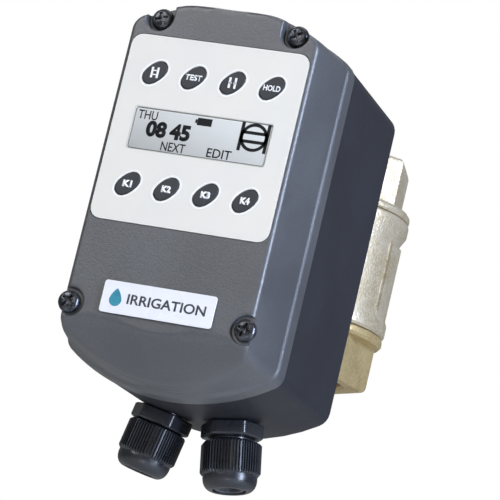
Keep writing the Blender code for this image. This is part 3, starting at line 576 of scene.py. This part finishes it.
class CONTROLLER_OT_finishes(StepOperator, bpy.types.Operator):
    """Make the materials and put them on the CAD pieces that stay as they are"""

    bl_idname = "controller.finishes"
    bl_label = "Finishes"

    KEPT = {
        "zinc": ("adapter_screw_1", "adapter_screw_2", "plate_screw_1", "plate_screw_2",
                 "gear_axle", "gear_motor", "gear_plate", "output_shaft",
                 "drive_coupling", "valve_stem", "coin_cell"),
        "brass": ("motor_pinion", "output_bush", "packing_nut"),
        "ptfe": ("seat_ring_upper", "seat_ring_lower", "stem_packing"),
        "acetal": ("output_gear", "compound_gear"),
        "solder mask": ("control_board", "power_board"),
        "black moulding": ("limit_cam", "limit_switch_open", "limit_switch_closed"),
        "terminal": ("terminal_block",),
        "laminations": ("transformer", "lcd_module"),
        "ribbon": ("ribbon_cable",),
        "neoprene": ("cover_gasket", "shaft_seal"),
        "nylon": ("gland_locknut_left", "gland_locknut_right"),
        "chrome": ("valve_ball",),
    }

    def execute(self, context):
        make_finishes(context.scene.controller_colours)
        for finish, nodes in self.KEPT.items():
            for node in nodes:
                piece = frame["nodes"][node]
                piece.data.materials.clear()
                piece.data.materials.append(FINISHES[finish])
        return {"FINISHED"}


class CONTROLLER_OT_cover(StepOperator, bpy.types.Operator):
    """Build the front cover: tapered, with a soft chin, a ridged band and screw pockets"""

    bl_idname = "controller.cover"
    bl_label = "Front cover"

    # Millimetres: depths from the front face's plane, heights from the display's middle.
    ARCH = 70.0
    CORNER = 6.0
    WALL = 3.2
    FACE_WALL = 2.7
    CHIN = -70.0
    CHIN_SOFT = 2.2
    FOREHEAD = 46.8
    FOREHEAD_SOFT = 0.5
    FOREHEAD_SLOPE = 4.0
    TAPER_END = 21.0
    FACE_STEPS = (15.0, 13.0, 11.5, 10.0, 8.5, 7.0, 5.5, 4.2, 3.0)  # in from the edge
    EDGE_STEPS = 6
    POCKET_RADIUS = 5.1
    PILLAR_RADIUS = 3.6
    HOLE_RADIUS = 2.2
    POCKET_FLARE = 0.95
    UPPER_FLOOR = 4.7
    LOWER_FLOOR = 1.5
    OUT_OF_SIDE = 16.0
    VIEW = (48.0, 12.5)
    # Depth, half width, lowest and highest point; a hollow line, then the band's ridge.
    STATIONS = (
        (0.0, 35.1, -82.2, 48.8), (21.0, 39.0, -86.1, 50.3), (21.5, 38.96, -86.1, 50.3),
        (21.9, 39.06, -86.27, 50.4), (22.3, 39.3, -86.57, 50.58),
        (22.7, 39.62, -86.92, 50.8), (23.1, 39.88, -87.2, 51.0),
        (23.5, 40.04, -87.4, 51.12), (24.0, 40.13, -87.52, 51.18), (24.6, 40.15, -87.6, 51.2),
        (28.9, 40.15, -88.1, 51.2), (29.3, 40.05, -88.05, 51.1), (29.5, 39.8, -87.85, 50.9),
    )

    def station(self, depth):
        """Half width, lowest and highest point at a depth."""
        for before, after in zip(self.STATIONS, self.STATIONS[1:]):
            if depth <= after[0]:
                t = (depth - before[0]) / (after[0] - before[0])
                return [a + (b - a) * t for a, b in zip(before[1:], after[1:])]
        return list(self.STATIONS[-1][1:])

    def outline(self, half, low, high, inset=0.0):
        """Points (x, z) of the cover's outline, always in the same number and order."""
        side = half - inset
        arch = self.ARCH - inset
        corner = max(self.CORNER - inset, 1.5)
        corner_x = side - corner
        drop = ((arch - corner) ** 2 - corner_x**2) ** 0.5
        lean = atan2(corner_x, drop)
        # A quarter of the outline: ten points round the corner, then half the arch.
        quarter = []
        for i in range(10):
            angle = (pi / 2 - lean) * i / 9
            quarter.append((corner_x + corner * cos(angle), drop + corner * sin(angle)))
        for i in range(1, 15):
            angle = lean * (1 - i / 14.5)
            quarter.append((arch * sin(angle), arch * cos(angle)))
        top = high - self.ARCH
        bottom = low + self.ARCH
        right = [(x, top + z) for x, z in quarter]
        left = [(-x, z) for x, z in reversed(right)]
        under_left = [(-x, bottom - z) for x, z in quarter]
        under_right = [(-x, z) for x, z in reversed(under_left)]
        down = []
        for i in range(1, 30):
            t = i / 30
            t = t + 0.12 * sin(2 * pi * t) / (2 * pi)
            down.append(right[0][1] + (under_right[-1][1] - right[0][1]) * t)
        left_side = [(-side, z) for z in down]
        right_side = [(side, z) for z in reversed(down)]
        return right + left + left_side + under_left + under_right + right_side

    def front(self, z):
        """How far the front face leans back at a height: flat, then chin and forehead."""
        def bend(past, soft):
            if past <= -soft:
                return 0.0
            if past >= soft:
                return past
            return (past + soft) ** 2 / (4 * soft)
        chin = bend(self.CHIN - z, self.CHIN_SOFT)
        forehead = bend(z - self.FOREHEAD, self.FOREHEAD_SOFT)
        return chin + self.FOREHEAD_SLOPE * forehead

    def edge_depths(self):
        """For each outline point, the depth at which the front face meets the side."""
        depths = [0.0] * len(self.outline(*self.station(0.0)))
        for _ in range(12):
            for i, depth in enumerate(depths):
                depths[i] = self.front(self.outline(*self.station(depth))[i][1])
        return depths

    def ring(self, depths, inset):
        """The outline at each point's own depth, as (x, z)."""
        outlines = {d: self.outline(*self.station(d), inset=inset) for d in set(depths)}
        return [outlines[d][i] for i, d in enumerate(depths)]

    def shell(self, name, edge, inset, behind, end):
        """The cover's solid to a depth; inset and behind shrink it into its own cavity."""
        depths = self.edge_depths()
        rings = []
        for extra in self.FACE_STEPS:
            flat = self.ring(depths, inset + extra)
            rings.append([(x, self.front(z) + behind, z) for x, z in flat])
        for step in range(self.EDGE_STEPS, -1, -1):
            angle = pi / 2 * step / self.EDGE_STEPS
            flat = self.ring(depths, inset + edge * (1 - cos(angle)))
            rise = edge * (1 - sin(angle)) + behind
            rings.append([(x, self.front(z) + rise, z) for x, z in flat])
        starts = [d + edge + behind for d in depths]
        walls = [[a + (self.TAPER_END - a) * i / 6 for a in starts] for i in range(1, 7)]
        walls += [[d] * len(depths) for d, *_ in self.STATIONS[2:]]
        for wall in walls:
            flat = self.ring(wall, inset)
            rings.append([(x, d, z) for (x, z), d in zip(flat, wall)])
        rings[-1] = [(x, end, z) for x, _, z in rings[-1]]
        return outline_stack(name, rings)

    def pocket(self, x, z, radius, floor, toward, flare):
        """A cutter for a screw's pocket, which runs out of the cover's side."""
        heading = atan2(toward[1], toward[0])
        rings = []
        sections = [(floor, -0.5), (floor - 0.15, -0.15), (floor - 0.5, 0.0)]
        if flare:
            for step in range(6):
                angle = pi / 2 * step / 5
                sections.append((flare * (1 - sin(angle)), flare * (1 - cos(angle))))
            sections.append((-3.0, flare))
        else:
            sections = [(floor, 0.0), (-3.0, 0.0)]
        for depth, wider in sections:
            ring = []
            for i in range(25):
                angle = heading + pi / 2 + pi * i / 24
                ring.append((x + (radius + wider) * cos(angle), depth,
                             z + (radius + wider) * sin(angle)))
            for corner in (ring[-1], ring[0]):
                ring.append((corner[0] + self.OUT_OF_SIDE * toward[0], depth,
                             corner[2] + self.OUT_OF_SIDE * toward[1]))
            rings.append(ring)
        return outline_stack("pocket", rings)

    def rod(self, x, z, radius, start, end):
        """A plain round cutter along the depth."""
        ring = [(x + radius * cos(2 * pi * i / 32), z + radius * sin(2 * pi * i / 32))
                for i in range(32)]
        return outline_stack("rod", [[(u, d, v) for u, v in ring] for d in (end, start)])

    def execute(self, context):
        edge = context.scene.controller_sizes.cover_edge / MM
        panel = Vector((0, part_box("front_cover")[0].y, middle_of("display_window").z))
        cover = self.shell("cover_shell", edge, 0.0, 0.0, self.STATIONS[-1][0])
        cavity = self.shell("cavity", 0.5, self.WALL, self.FACE_WALL, 31.0)
        pockets, holes = [], []
        for number in range(1, 5):
            low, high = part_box("cover_screw_%d" % number)
            middle = ((low + high) / 2 - panel) / MM
            upper = middle.z > 0
            toward = (0, 1) if upper else (1 if middle.x > 0 else -1, 0)
            floor = self.UPPER_FLOOR if upper else self.LOWER_FLOOR
            spot = (middle.x, middle.z)
            cut(cavity, self.pocket(*spot, self.POCKET_RADIUS + 1.8, floor + 2.5, toward, 0.0))
            cut(cavity, self.rod(*spot, self.PILLAR_RADIUS, 0.0, 33.0))
            pockets.append(self.pocket(*spot, self.POCKET_RADIUS, floor, toward,
                                       self.POCKET_FLARE))
            holes.append(self.rod(*spot, self.HOLE_RADIUS, -1.0, 35.0))
        for cutter in [cavity, *pockets, *holes, *self.openings(panel)]:
            cut(cover, cutter)
        cover.data.transform(Matrix.Translation(panel))
        shaded(cover, 40.0)
        fitted(cover, FINISHES["powder coat"], "housing", "cover_grey", "front_cover")
        return {"FINISHED"}

    def openings(self, panel):
        """Cutters for the foil's recess, the display and the keys."""
        low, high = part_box("keypad_fascia")
        middle = (low + high) / 2 - panel
        size = high - low
        recess = patch((size.x + 0.6 * MM, size.z + 0.6 * MM), (middle.x, 1.1 * MM, middle.z),
                       corner=4.3 * MM)
        thickened(recess, 4.0 * MM)
        view = patch([side * MM for side in self.VIEW], (0, 6.0 * MM, 0), corner=1.0 * MM)
        thickened(view, 8.0 * MM)
        cutters = [recess, view]
        for node in sorted(frame["nodes"]):
            if node.startswith("key_"):
                spot = middle_of(node) - panel
                hole = disc(5.2 * MM, (spot.x, 6.0 * MM, spot.z), 3.4 / 5.2, 45.0, power=2.3)
                cutters.append(thickened(hole, 8.0 * MM))
        return cutters


class CONTROLLER_OT_housing(StepOperator, bpy.types.Operator):
    """Build the rear housing and the neck behind it"""

    bl_idname = "controller.housing"
    bl_label = "Rear housing"

    def execute(self, context):
        sizes = context.scene.controller_sizes
        shell = merged_copy("rear_housing", "rear_shell")
        softened(shell, sizes.housing_edge, 3)
        fitted(shell, FINISHES["housing"], "housing", "housing_grey", "rear_housing")
        neck = merged_copy("valve_adapter", "neck_shell")
        softened(neck, sizes.casting_edge, 3)
        fitted(neck, FINISHES["housing"], "housing", "black_nylon", "valve_adapter")
        return {"FINISHED"}


class CONTROLLER_OT_screws(StepOperator, bpy.types.Operator):
    """Build the four pan-head screws in the cover's pockets"""

    bl_idname = "controller.screws"
    bl_label = "Cover screws"

    TURNS = (18.0, 52.0, 33.0, 70.0)
    HEAD = 2.5
    SLOT = (5.0, 1.05, 2.4)
    SLOT_HEIGHT = 2.7

    def execute(self, context):
        for number, turn in enumerate(self.TURNS, start=1):
            node = "cover_screw_%d" % number
            low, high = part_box(node)
            length = (high.y - low.y) / MM
            rings = [
                (0.9, 2.9 - length), (1.85, 3.9 - length), (1.85, 0.0), (3.75, 0.0),
                (3.95, 0.15), (4.0, 0.7), (3.8, 1.45), (3.3, 2.05), (2.5, 2.4), (1.5, self.HEAD),
            ]
            screw = ring_stack("screw_%d" % number, rings, 40)
            for arm in (0.0, 90.0):
                start_clean()
                bpy.ops.mesh.primitive_cube_add(size=1.0)
                slot = bpy.context.object
                slot.scale = [side * MM for side in self.SLOT]
                slot.rotation_euler = (0, 0, radians(arm + turn))
                slot.location = (0, 0, self.SLOT_HEIGHT * MM)
                cut(screw, settle(slot))
            softened(screw, 0.12 * MM, 2, 40.0)
            middle = (low + high) / 2
            head = Vector((middle.x, low.y + self.HEAD * MM, middle.z))
            screw.data.transform(Matrix.Translation(head) @ FACING)
            fitted(screw, FINISHES["black steel"], "housing", "black_steel", node)
        return {"FINISHED"}


class CONTROLLER_OT_keypad(StepOperator, bpy.types.Operator):
    """Build the keypad's foil, the rims printed on it, its keys and their legends"""

    bl_idname = "controller.keypad"
    bl_label = "Keypad"

    LONG = 4.9 * MM
    FLATTEN = 3.1 / 4.9
    TILT = 45.0
    WORDS = {"key_auto": "TEST", "key_mode": "HOLD", "key_soft_1": "K1",
             "key_soft_2": "K2", "key_soft_3": "K3", "key_soft_4": "K4"}

    def valve_symbol(self, centre, flow):
        """Two notched bars for a shut valve, joined by rungs for an open one."""
        shapes = []
        for side in (-1, 1):
            spot = centre + Vector((side * 1.05 * MM, 0, 0))
            shapes.append(patch((0.8 * MM, 3.9 * MM), spot))
            spot = centre + Vector((side * 0.75 * MM, 0, 0))
            if not flow:
                shapes.append(patch((0.75 * MM, 0.75 * MM), spot, 45.0))
        if flow:
            for lift in (-0.75, 0.75):
                spot = centre + Vector((0, 0, lift * MM))
                shapes.append(patch((1.6 * MM, 0.42 * MM), spot))
        return shapes

    def execute(self, context):
        sizes = context.scene.controller_sizes
        foil = merged_copy("keypad_fascia", "keypad_foil")
        softened(foil, 0.12 * MM, 2)
        fitted(foil, FINISHES["foil"], "housing", "fascia_white", "keypad_fascia")
        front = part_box("keypad_fascia")[0].y
        rims = []
        keys = [n for n in sorted(frame["nodes"]) if n.startswith("key_")]
        for node in keys:
            low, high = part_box(node)
            middle = (low + high) / 2
            spot = Vector((middle.x, front, middle.z))
            rim = disc(self.LONG + 1.0 * MM, spot, (3.1 + 0.95) / (4.9 + 1.0), self.TILT,
                       power=2.3)
            rims.append(hollow(rim, 0.5 * MM))
            key = disc(self.LONG, Vector((middle.x, high.y - 1.2 * MM, middle.z)),
                       self.FLATTEN, self.TILT, power=2.3)
            thickened(key, high.y - 1.2 * MM - low.y)
            named(node + "_cap")
            softened(key, 0.45 * MM, 4, 40.0)
            fitted(key, FINISHES["keys"], node, "key_charcoal", node)
            face = Vector((middle.x, low.y, middle.z))
            words = self.WORDS.get(node)
            if words:
                # Two letters are 3.5 mm wide, and four are 6.3 mm.
                width = 0.27 * len(words) + 0.13
                small = len(words) > 2
                shapes = [lettering(words, face, width * 5.2 * MM, sizes.legend_height
                                    * (0.86 if small else 1.0), 0.03 if small else 0.06)]
            else:
                shapes = self.valve_symbol(face, node == "key_open")
            legend = printed(node + "_legend", shapes)
            fitted(legend, FINISHES["white ink"], node, "key_charcoal")
        fitted(printed("key_rims", rims), FINISHES["white ink"], "housing", "fascia_white")
        return {"FINISHED"}


class CONTROLLER_OT_display(StepOperator, bpy.types.Operator):
    """Build the display's pane, its frame and what it shows"""

    bl_idname = "controller.display"
    bl_label = "Display"

    def execute(self, context):
        low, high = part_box("display_window")
        middle = (low + high) / 2
        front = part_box("keypad_fascia")[0].y

        def at(x, z, y=low.y):
            """A point this many millimetres from the display's middle."""
            return Vector((middle.x + x * MM, y, middle.z + z * MM))

        pane = merged_copy("display_window", "display_pane")
        softened(pane, 0.15 * MM, 2)
        fitted(pane, FINISHES["display"], "housing", "window_clear", "display_window")
        size = (high.x - low.x + 1.3 * MM, high.z - low.z + 1.3 * MM)
        edge = hollow(patch(size, at(0, 0, front), corner=0.9 * MM), 0.34 * MM)
        fitted(printed("display_border", [edge]), FINISHES["border ink"], "housing",
               "fascia_white")
        shapes = [
            lettering("THU", at(-20.6, 5.0), 7.2 * MM, 3.2 * MM, 0.006),
            lettering("NEXT", at(-8.7, -5.3), 9.0 * MM, 3.2 * MM, 0.008),
            lettering("EDIT", at(8.5, -5.3), 9.0 * MM, 3.2 * MM, 0.008),
            lettering("08", at(-16.3, 0.3), 7.6 * MM, 5.9 * MM, 0.05),
            lettering("45", at(-7.4, 0.3), 7.6 * MM, 5.9 * MM, 0.05),
            patch((5.4 * MM, 2.7 * MM), at(0.6, 5.2)),
            patch((0.7 * MM, 1.3 * MM), at(-2.5, 5.2)),
        ]
        words = printed("display_words", shapes)
        fitted(words, FINISHES["segments"], "housing", "window_clear")
        shapes = [hollow(disc(5.1 * MM, at(19.6, 2.2)), 1.15 * MM)]
        for x in (14.9, 24.4):
            shapes.append(patch((1.2 * MM, 10.4 * MM), at(x, 2.2)))
        for z in (3.8, 0.6):
            shapes.append(patch((8.6 * MM, 1.15 * MM), at(19.6, z)))
        symbol = printed("display_valve_symbol", shapes)
        fitted(symbol, FINISHES["segments"], "housing", "window_clear")
        return {"FINISHED"}


class CONTROLLER_OT_plate(StepOperator, bpy.types.Operator):
    """Build the name plate and its plain motif"""

    bl_idname = "controller.plate"
    bl_label = "Name plate"

    def drop(self, centre, size):
        """A water drop: a disc drawn out to a point at its top."""
        shape = disc(size, centre, 1.0, 0.0, 40)
        edit(shape)
        bm = bmesh.from_edit_mesh(shape.data)
        for vert in bm.verts:
            rise = min(1.0, (vert.co.z - centre.z) / size)
            if rise > 0:
                vert.co.x = centre.x + (vert.co.x - centre.x) * (1 - rise) ** 0.35
                vert.co.z = centre.z + size * rise * 1.75
        bmesh.update_edit_mesh(shape.data)
        return leave(shape)

    def execute(self, context):
        low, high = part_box("name_plate")
        middle = (low + high) / 2
        plate = merged_copy("name_plate", "plate_foil")
        softened(plate, 0.12 * MM, 2)
        fitted(plate, FINISHES["plate"], "housing", "plate_white", "name_plate")
        spot = Vector((middle.x - 15.6 * MM, low.y, middle.z - 0.9 * MM))
        drop = printed("plate_drop", [self.drop(spot, 2.3 * MM)])
        fitted(drop, FINISHES["water ink"], "housing", "plate_white")
        spot = Vector((middle.x + 3.2 * MM, low.y, middle.z))
        words = printed("plate_words", [lettering("IRRIGATION", spot, 29.0 * MM, 3.6 * MM,
                                                  0.02)])
        fitted(words, FINISHES["dark ink"], "housing", "plate_white")
        return {"FINISHED"}


class CONTROLLER_OT_glands(StepOperator, bpy.types.Operator):
    """Build both cable glands: hexagon, threaded neck, ribbed cap and rubber insert"""

    bl_idname = "controller.glands"
    bl_label = "Cable glands"

    # How far each cap stands off its hexagon, and where its joint lies along it.
    START = {"left": 6.0, "right": 7.2}
    JOINT_AT = 12.0
    NUT_TURN, CAP_TURN = -110.0, -62.0
    CAP_LENGTH = 17.2
    RIB = 0.42

    def place(self, side):
        """A gland's own frame, its -Z pointing out of the housing, from its joint."""
        joint = [j for j in frame["joints"] if j["name"] == "gland_cap_turn_" + side][0]
        way = Vector(joint["axis"])
        seat = Vector(joint["pos_m"]) - way * self.JOINT_AT * MM
        lean = atan2(way.x, -way.z)
        return Matrix.Translation(seat) @ Matrix.Rotation(-lean, 4, "Y")

    def body(self, side, place):
        flats, small = (hexagon_reach(w, self.NUT_TURN, 1.6) for w in (20.0, 19.0))
        hexagon = [(7.9, 10.5), (7.9, -0.3), (small, -0.3), (flats, -0.8), (flats, -4.9),
                   (small, -5.5), (8.6, -5.6)]
        thread = []
        for turn in range(4):
            low = -5.9 - turn * 1.5
            thread += [(7.9, low), (7.9, low - 0.5), (7.35, low - 0.85), (7.35, low - 1.2)]
        bore = [(6.9, -12.0), (6.9, -6.6), (5.1, -6.5), (5.1, 10.5)]
        piece = ring_stack("gland_hex_" + side, hexagon + thread + bore, 96, tube=True)
        piece.data.transform(place)
        shaded(piece, 30.0)
        fitted(piece, FINISHES["nylon"], "housing", "black_nylon", "gland_body_" + side)

    def cap(self, side, place, ribs):
        start = -self.START[side]
        wide, narrow = (hexagon_reach(w, self.CAP_TURN, 6.4) for w in (20.3, 19.2))

        def ribbed(angle):
            wave = cos(ribs * angle)
            return wide(angle) + self.RIB * max(-0.8, min(0.8, wave * 1.6))

        def edge(angle):
            return (narrow(angle) + ribbed(angle) * 0.985) / 2

        rings = [
            (8.3, start), (9.0, start), (edge, start - 0.15), (ribbed, start - 0.8),
            (ribbed, start - 10.6), (edge, start - 11.4), (narrow, start - 11.7),
            (9.75, start - 12.0), (9.72, start - 13.2), (9.5, start - 14.4),
            (9.1, start - 15.4), (8.5, start - 16.2), (7.8, start - 16.8),
            (7.0, start - 17.15), (6.3, start - self.CAP_LENGTH), (5.95, start - 17.0),
            (5.9, start - 14.7), (8.2, start - 14.6),
        ]
        piece = ring_stack("gland_grip_" + side, rings, ribs * 6, tube=True)
        piece.data.transform(place)
        shaded(piece, 34.0)
        fitted(piece, FINISHES["nylon"], "cap_" + side, "black_nylon", "gland_cap_" + side)

    def insert(self, side, place):
        tip = self.START[side] + self.CAP_LENGTH
        rings = [
            (3.9, -7.0), (6.5, -7.0), (6.5, 2.9 - tip), (5.6, 2.9 - tip), (5.6, 0.9 - tip),
            (5.2, 0.5 - tip), (4.3, 0.4 - tip), (3.95, 0.7 - tip),
        ]
        piece = ring_stack("gland_rubber_" + side, rings, 48, tube=True)
        piece.data.transform(place)
        shaded(piece, 34.0)
        fitted(piece, FINISHES["neoprene"], "insert_" + side, "seal_rubber",
               "gland_insert_" + side)

    def execute(self, context):
        for side in ("left", "right"):
            place = self.place(side)
            self.body(side, place)
            self.cap(side, place, context.scene.controller_sizes.cap_ribs)
            self.insert(side, place)
        return {"FINISHED"}


class CONTROLLER_OT_valve(StepOperator, bpy.types.Operator):
    """Build the valve's body and its two screwed ends with cast edges"""

    bl_idname = "controller.valve"
    bl_label = "Ball valve"

    def execute(self, context):
        edge = context.scene.controller_sizes.casting_edge
        for node, name, finish in (
                ("valve_body", "valve_casting", "nickel"),
                ("valve_end_upper", "valve_hexagon_upper", "nickel"),
                # The lower end takes the nickel with a painted warm reflection.
                ("valve_end_lower", "valve_hexagon_lower", "nickel with painted reflection")):
            piece = merged_copy(node, name)
            softened(piece, edge, 3)
            fitted(piece, FINISHES[finish], "housing", "nickel_brass", node)
        return {"FINISHED"}


class CONTROLLER_OT_stage(StepOperator, bpy.types.Operator):
    """Build the floor, the studio lights and the camera"""

    bl_idname = "controller.stage"
    bl_label = "Stage"

    FLOOR = -0.42
    CAMERA_PLACE = (0.3971, -1.1363, -0.2617)
    AZIMUTH, ELEVATION, ROLL = radians(20.76), radians(12.25), radians(-13.45)
    LENS = 226.6
    PAPER_GLOW = 0.42
    LIGHTS = (
        ("key", (-0.75, -1.15, 0.75), 0.8, 0.8, 7.3, "#ffffff"),
        ("front fill", (0.1, -1.45, 0.5), 0.9, 0.9, 2.9, "#fff8ee"),
        ("edge strip", (1.1, -0.55, 0.2), 0.26, 1.0, 23.0, "#d3e2ff"),
        ("top", (0.1, -0.1, 1.1), 0.7, 0.7, 2.0, "#ffffff"),
        ("rear", (-0.6, 1.0, 0.7), 0.7, 0.7, 3.0, "#ffffff"),
        ("low", (0.15, -0.75, -0.4), 0.3, 0.1, 0.3, "#f2f4ff"),
    )

    def execute(self, context):
        start_clean()
        bpy.ops.mesh.primitive_plane_add(size=8.0, location=(0, 0, self.FLOOR))
        floor = settle(named("studio_floor"))
        paper = surface("paper", "pale studio paper", "#dededb", "#d4d4d1", 0.7,
                        grain=3.0, relief=0.02, blotch=400.0)
        # The paper glows a little for the camera alone, so that it stays pale far away.
        shader = paper.node_tree.nodes["Principled BSDF"]
        shader.inputs["Emission Color"].default_value = srgb("#f4f4f2")
        path = add(paper.node_tree, "ShaderNodeLightPath")
        glow = add(paper.node_tree, "ShaderNodeMath", {1: self.PAPER_GLOW},
                   {0: path.outputs["Is Camera Ray"]}, operation="MULTIPLY")
        paper.node_tree.links.new(glow.outputs[0], shader.inputs["Emission Strength"])
        floor.data.materials.append(paper)
        target = middle_of("rear_housing")
        for name, spot, width, height, power, tint in self.LIGHTS:
            bpy.ops.object.light_add(type="AREA", location=spot)
            light = named("light_" + name.replace(" ", "_"))
            light.data.shape = "RECTANGLE"
            light.data.size = width
            light.data.size_y = height
            light.data.energy = power
            light.data.color = srgb(tint)[:3]
            aim = (target - Vector(spot)).to_track_quat("-Z", "Y")
            light.rotation_euler = aim.to_euler()
        world = bpy.data.worlds.new("studio")
        context.scene.world = world
        world.use_nodes = True
        tree = world.node_tree
        sky = tree.nodes["Background"]
        place = add(tree, "ShaderNodeTexCoord")
        parts = add(tree, "ShaderNodeSeparateXYZ", links={0: place.outputs["Generated"]})
        shade = add(tree, "ShaderNodeMapRange",
                    {"From Min": -1.0, "From Max": 1.0, "To Min": 0.03, "To Max": 0.3},
                    {"Value": parts.outputs["Z"]})
        path = add(tree, "ShaderNodeLightPath")
        seen = add(tree, "ShaderNodeMath", links={0: path.outputs["Is Camera Ray"],
                                                  1: shade.outputs[0]}, operation="MAXIMUM")
        tree.links.new(seen.outputs[0], sky.inputs["Strength"])
        sky.inputs["Color"].default_value = (1, 1, 1, 1)

        bpy.ops.object.camera_add(location=self.CAMERA_PLACE)
        camera = named("camera")
        level = cos(self.ELEVATION)
        look = Vector((-sin(self.AZIMUTH) * level, cos(self.AZIMUTH) * level,
                       sin(self.ELEVATION)))
        turn = look.to_track_quat("-Z", "Y").to_matrix().to_4x4()
        camera.rotation_euler = (turn @ Matrix.Rotation(-self.ROLL, 4, "Z")).to_euler()
        camera.data.lens = self.LENS
        camera.data.sensor_width = 36.0
        camera.data.clip_end = 50.0
        camera.data.dof.use_dof = False
        context.scene.camera = camera
        context.scene.view_settings.view_transform = "Standard"
        return {"FINISHED"}


class CONTROLLER_PT_panel(bpy.types.Panel):
    """Lists the controller's sizes, colours and building steps"""

    bl_label = "Irrigation controller"
    bl_space_type = "VIEW_3D"
    bl_region_type = "UI"
    bl_category = "Controller"

    def draw(self, context):
        for group in (context.scene.controller_sizes, context.scene.controller_colours):
            box = self.layout.box()
            for key in group.__annotations__:
                box.prop(group, key)
        for step in STEPS:
            self.layout.operator(step.bl_idname)


STEPS = (
    CONTROLLER_OT_finishes, CONTROLLER_OT_cover, CONTROLLER_OT_housing,
    CONTROLLER_OT_screws, CONTROLLER_OT_keypad, CONTROLLER_OT_display,
    CONTROLLER_OT_plate, CONTROLLER_OT_glands, CONTROLLER_OT_valve, CONTROLLER_OT_stage,
)
CLASSES = (ControllerSizes, ControllerColours, *STEPS, CONTROLLER_PT_panel)


def register():
    for item in CLASSES:
        bpy.utils.register_class(item)
    bpy.types.Scene.controller_sizes = bpy.props.PointerProperty(type=ControllerSizes)
    bpy.types.Scene.controller_colours = bpy.props.PointerProperty(type=ControllerColours)


def unregister():
    del bpy.types.Scene.controller_colours
    del bpy.types.Scene.controller_sizes
    for item in reversed(CLASSES):
        bpy.utils.unregister_class(item)


def main():
    register()
    for step in STEPS:
        group, name = step.bl_idname.split(".")
        getattr(getattr(bpy.ops, group), name)()
    start_clean()


if __name__ == "__main__":
    main()
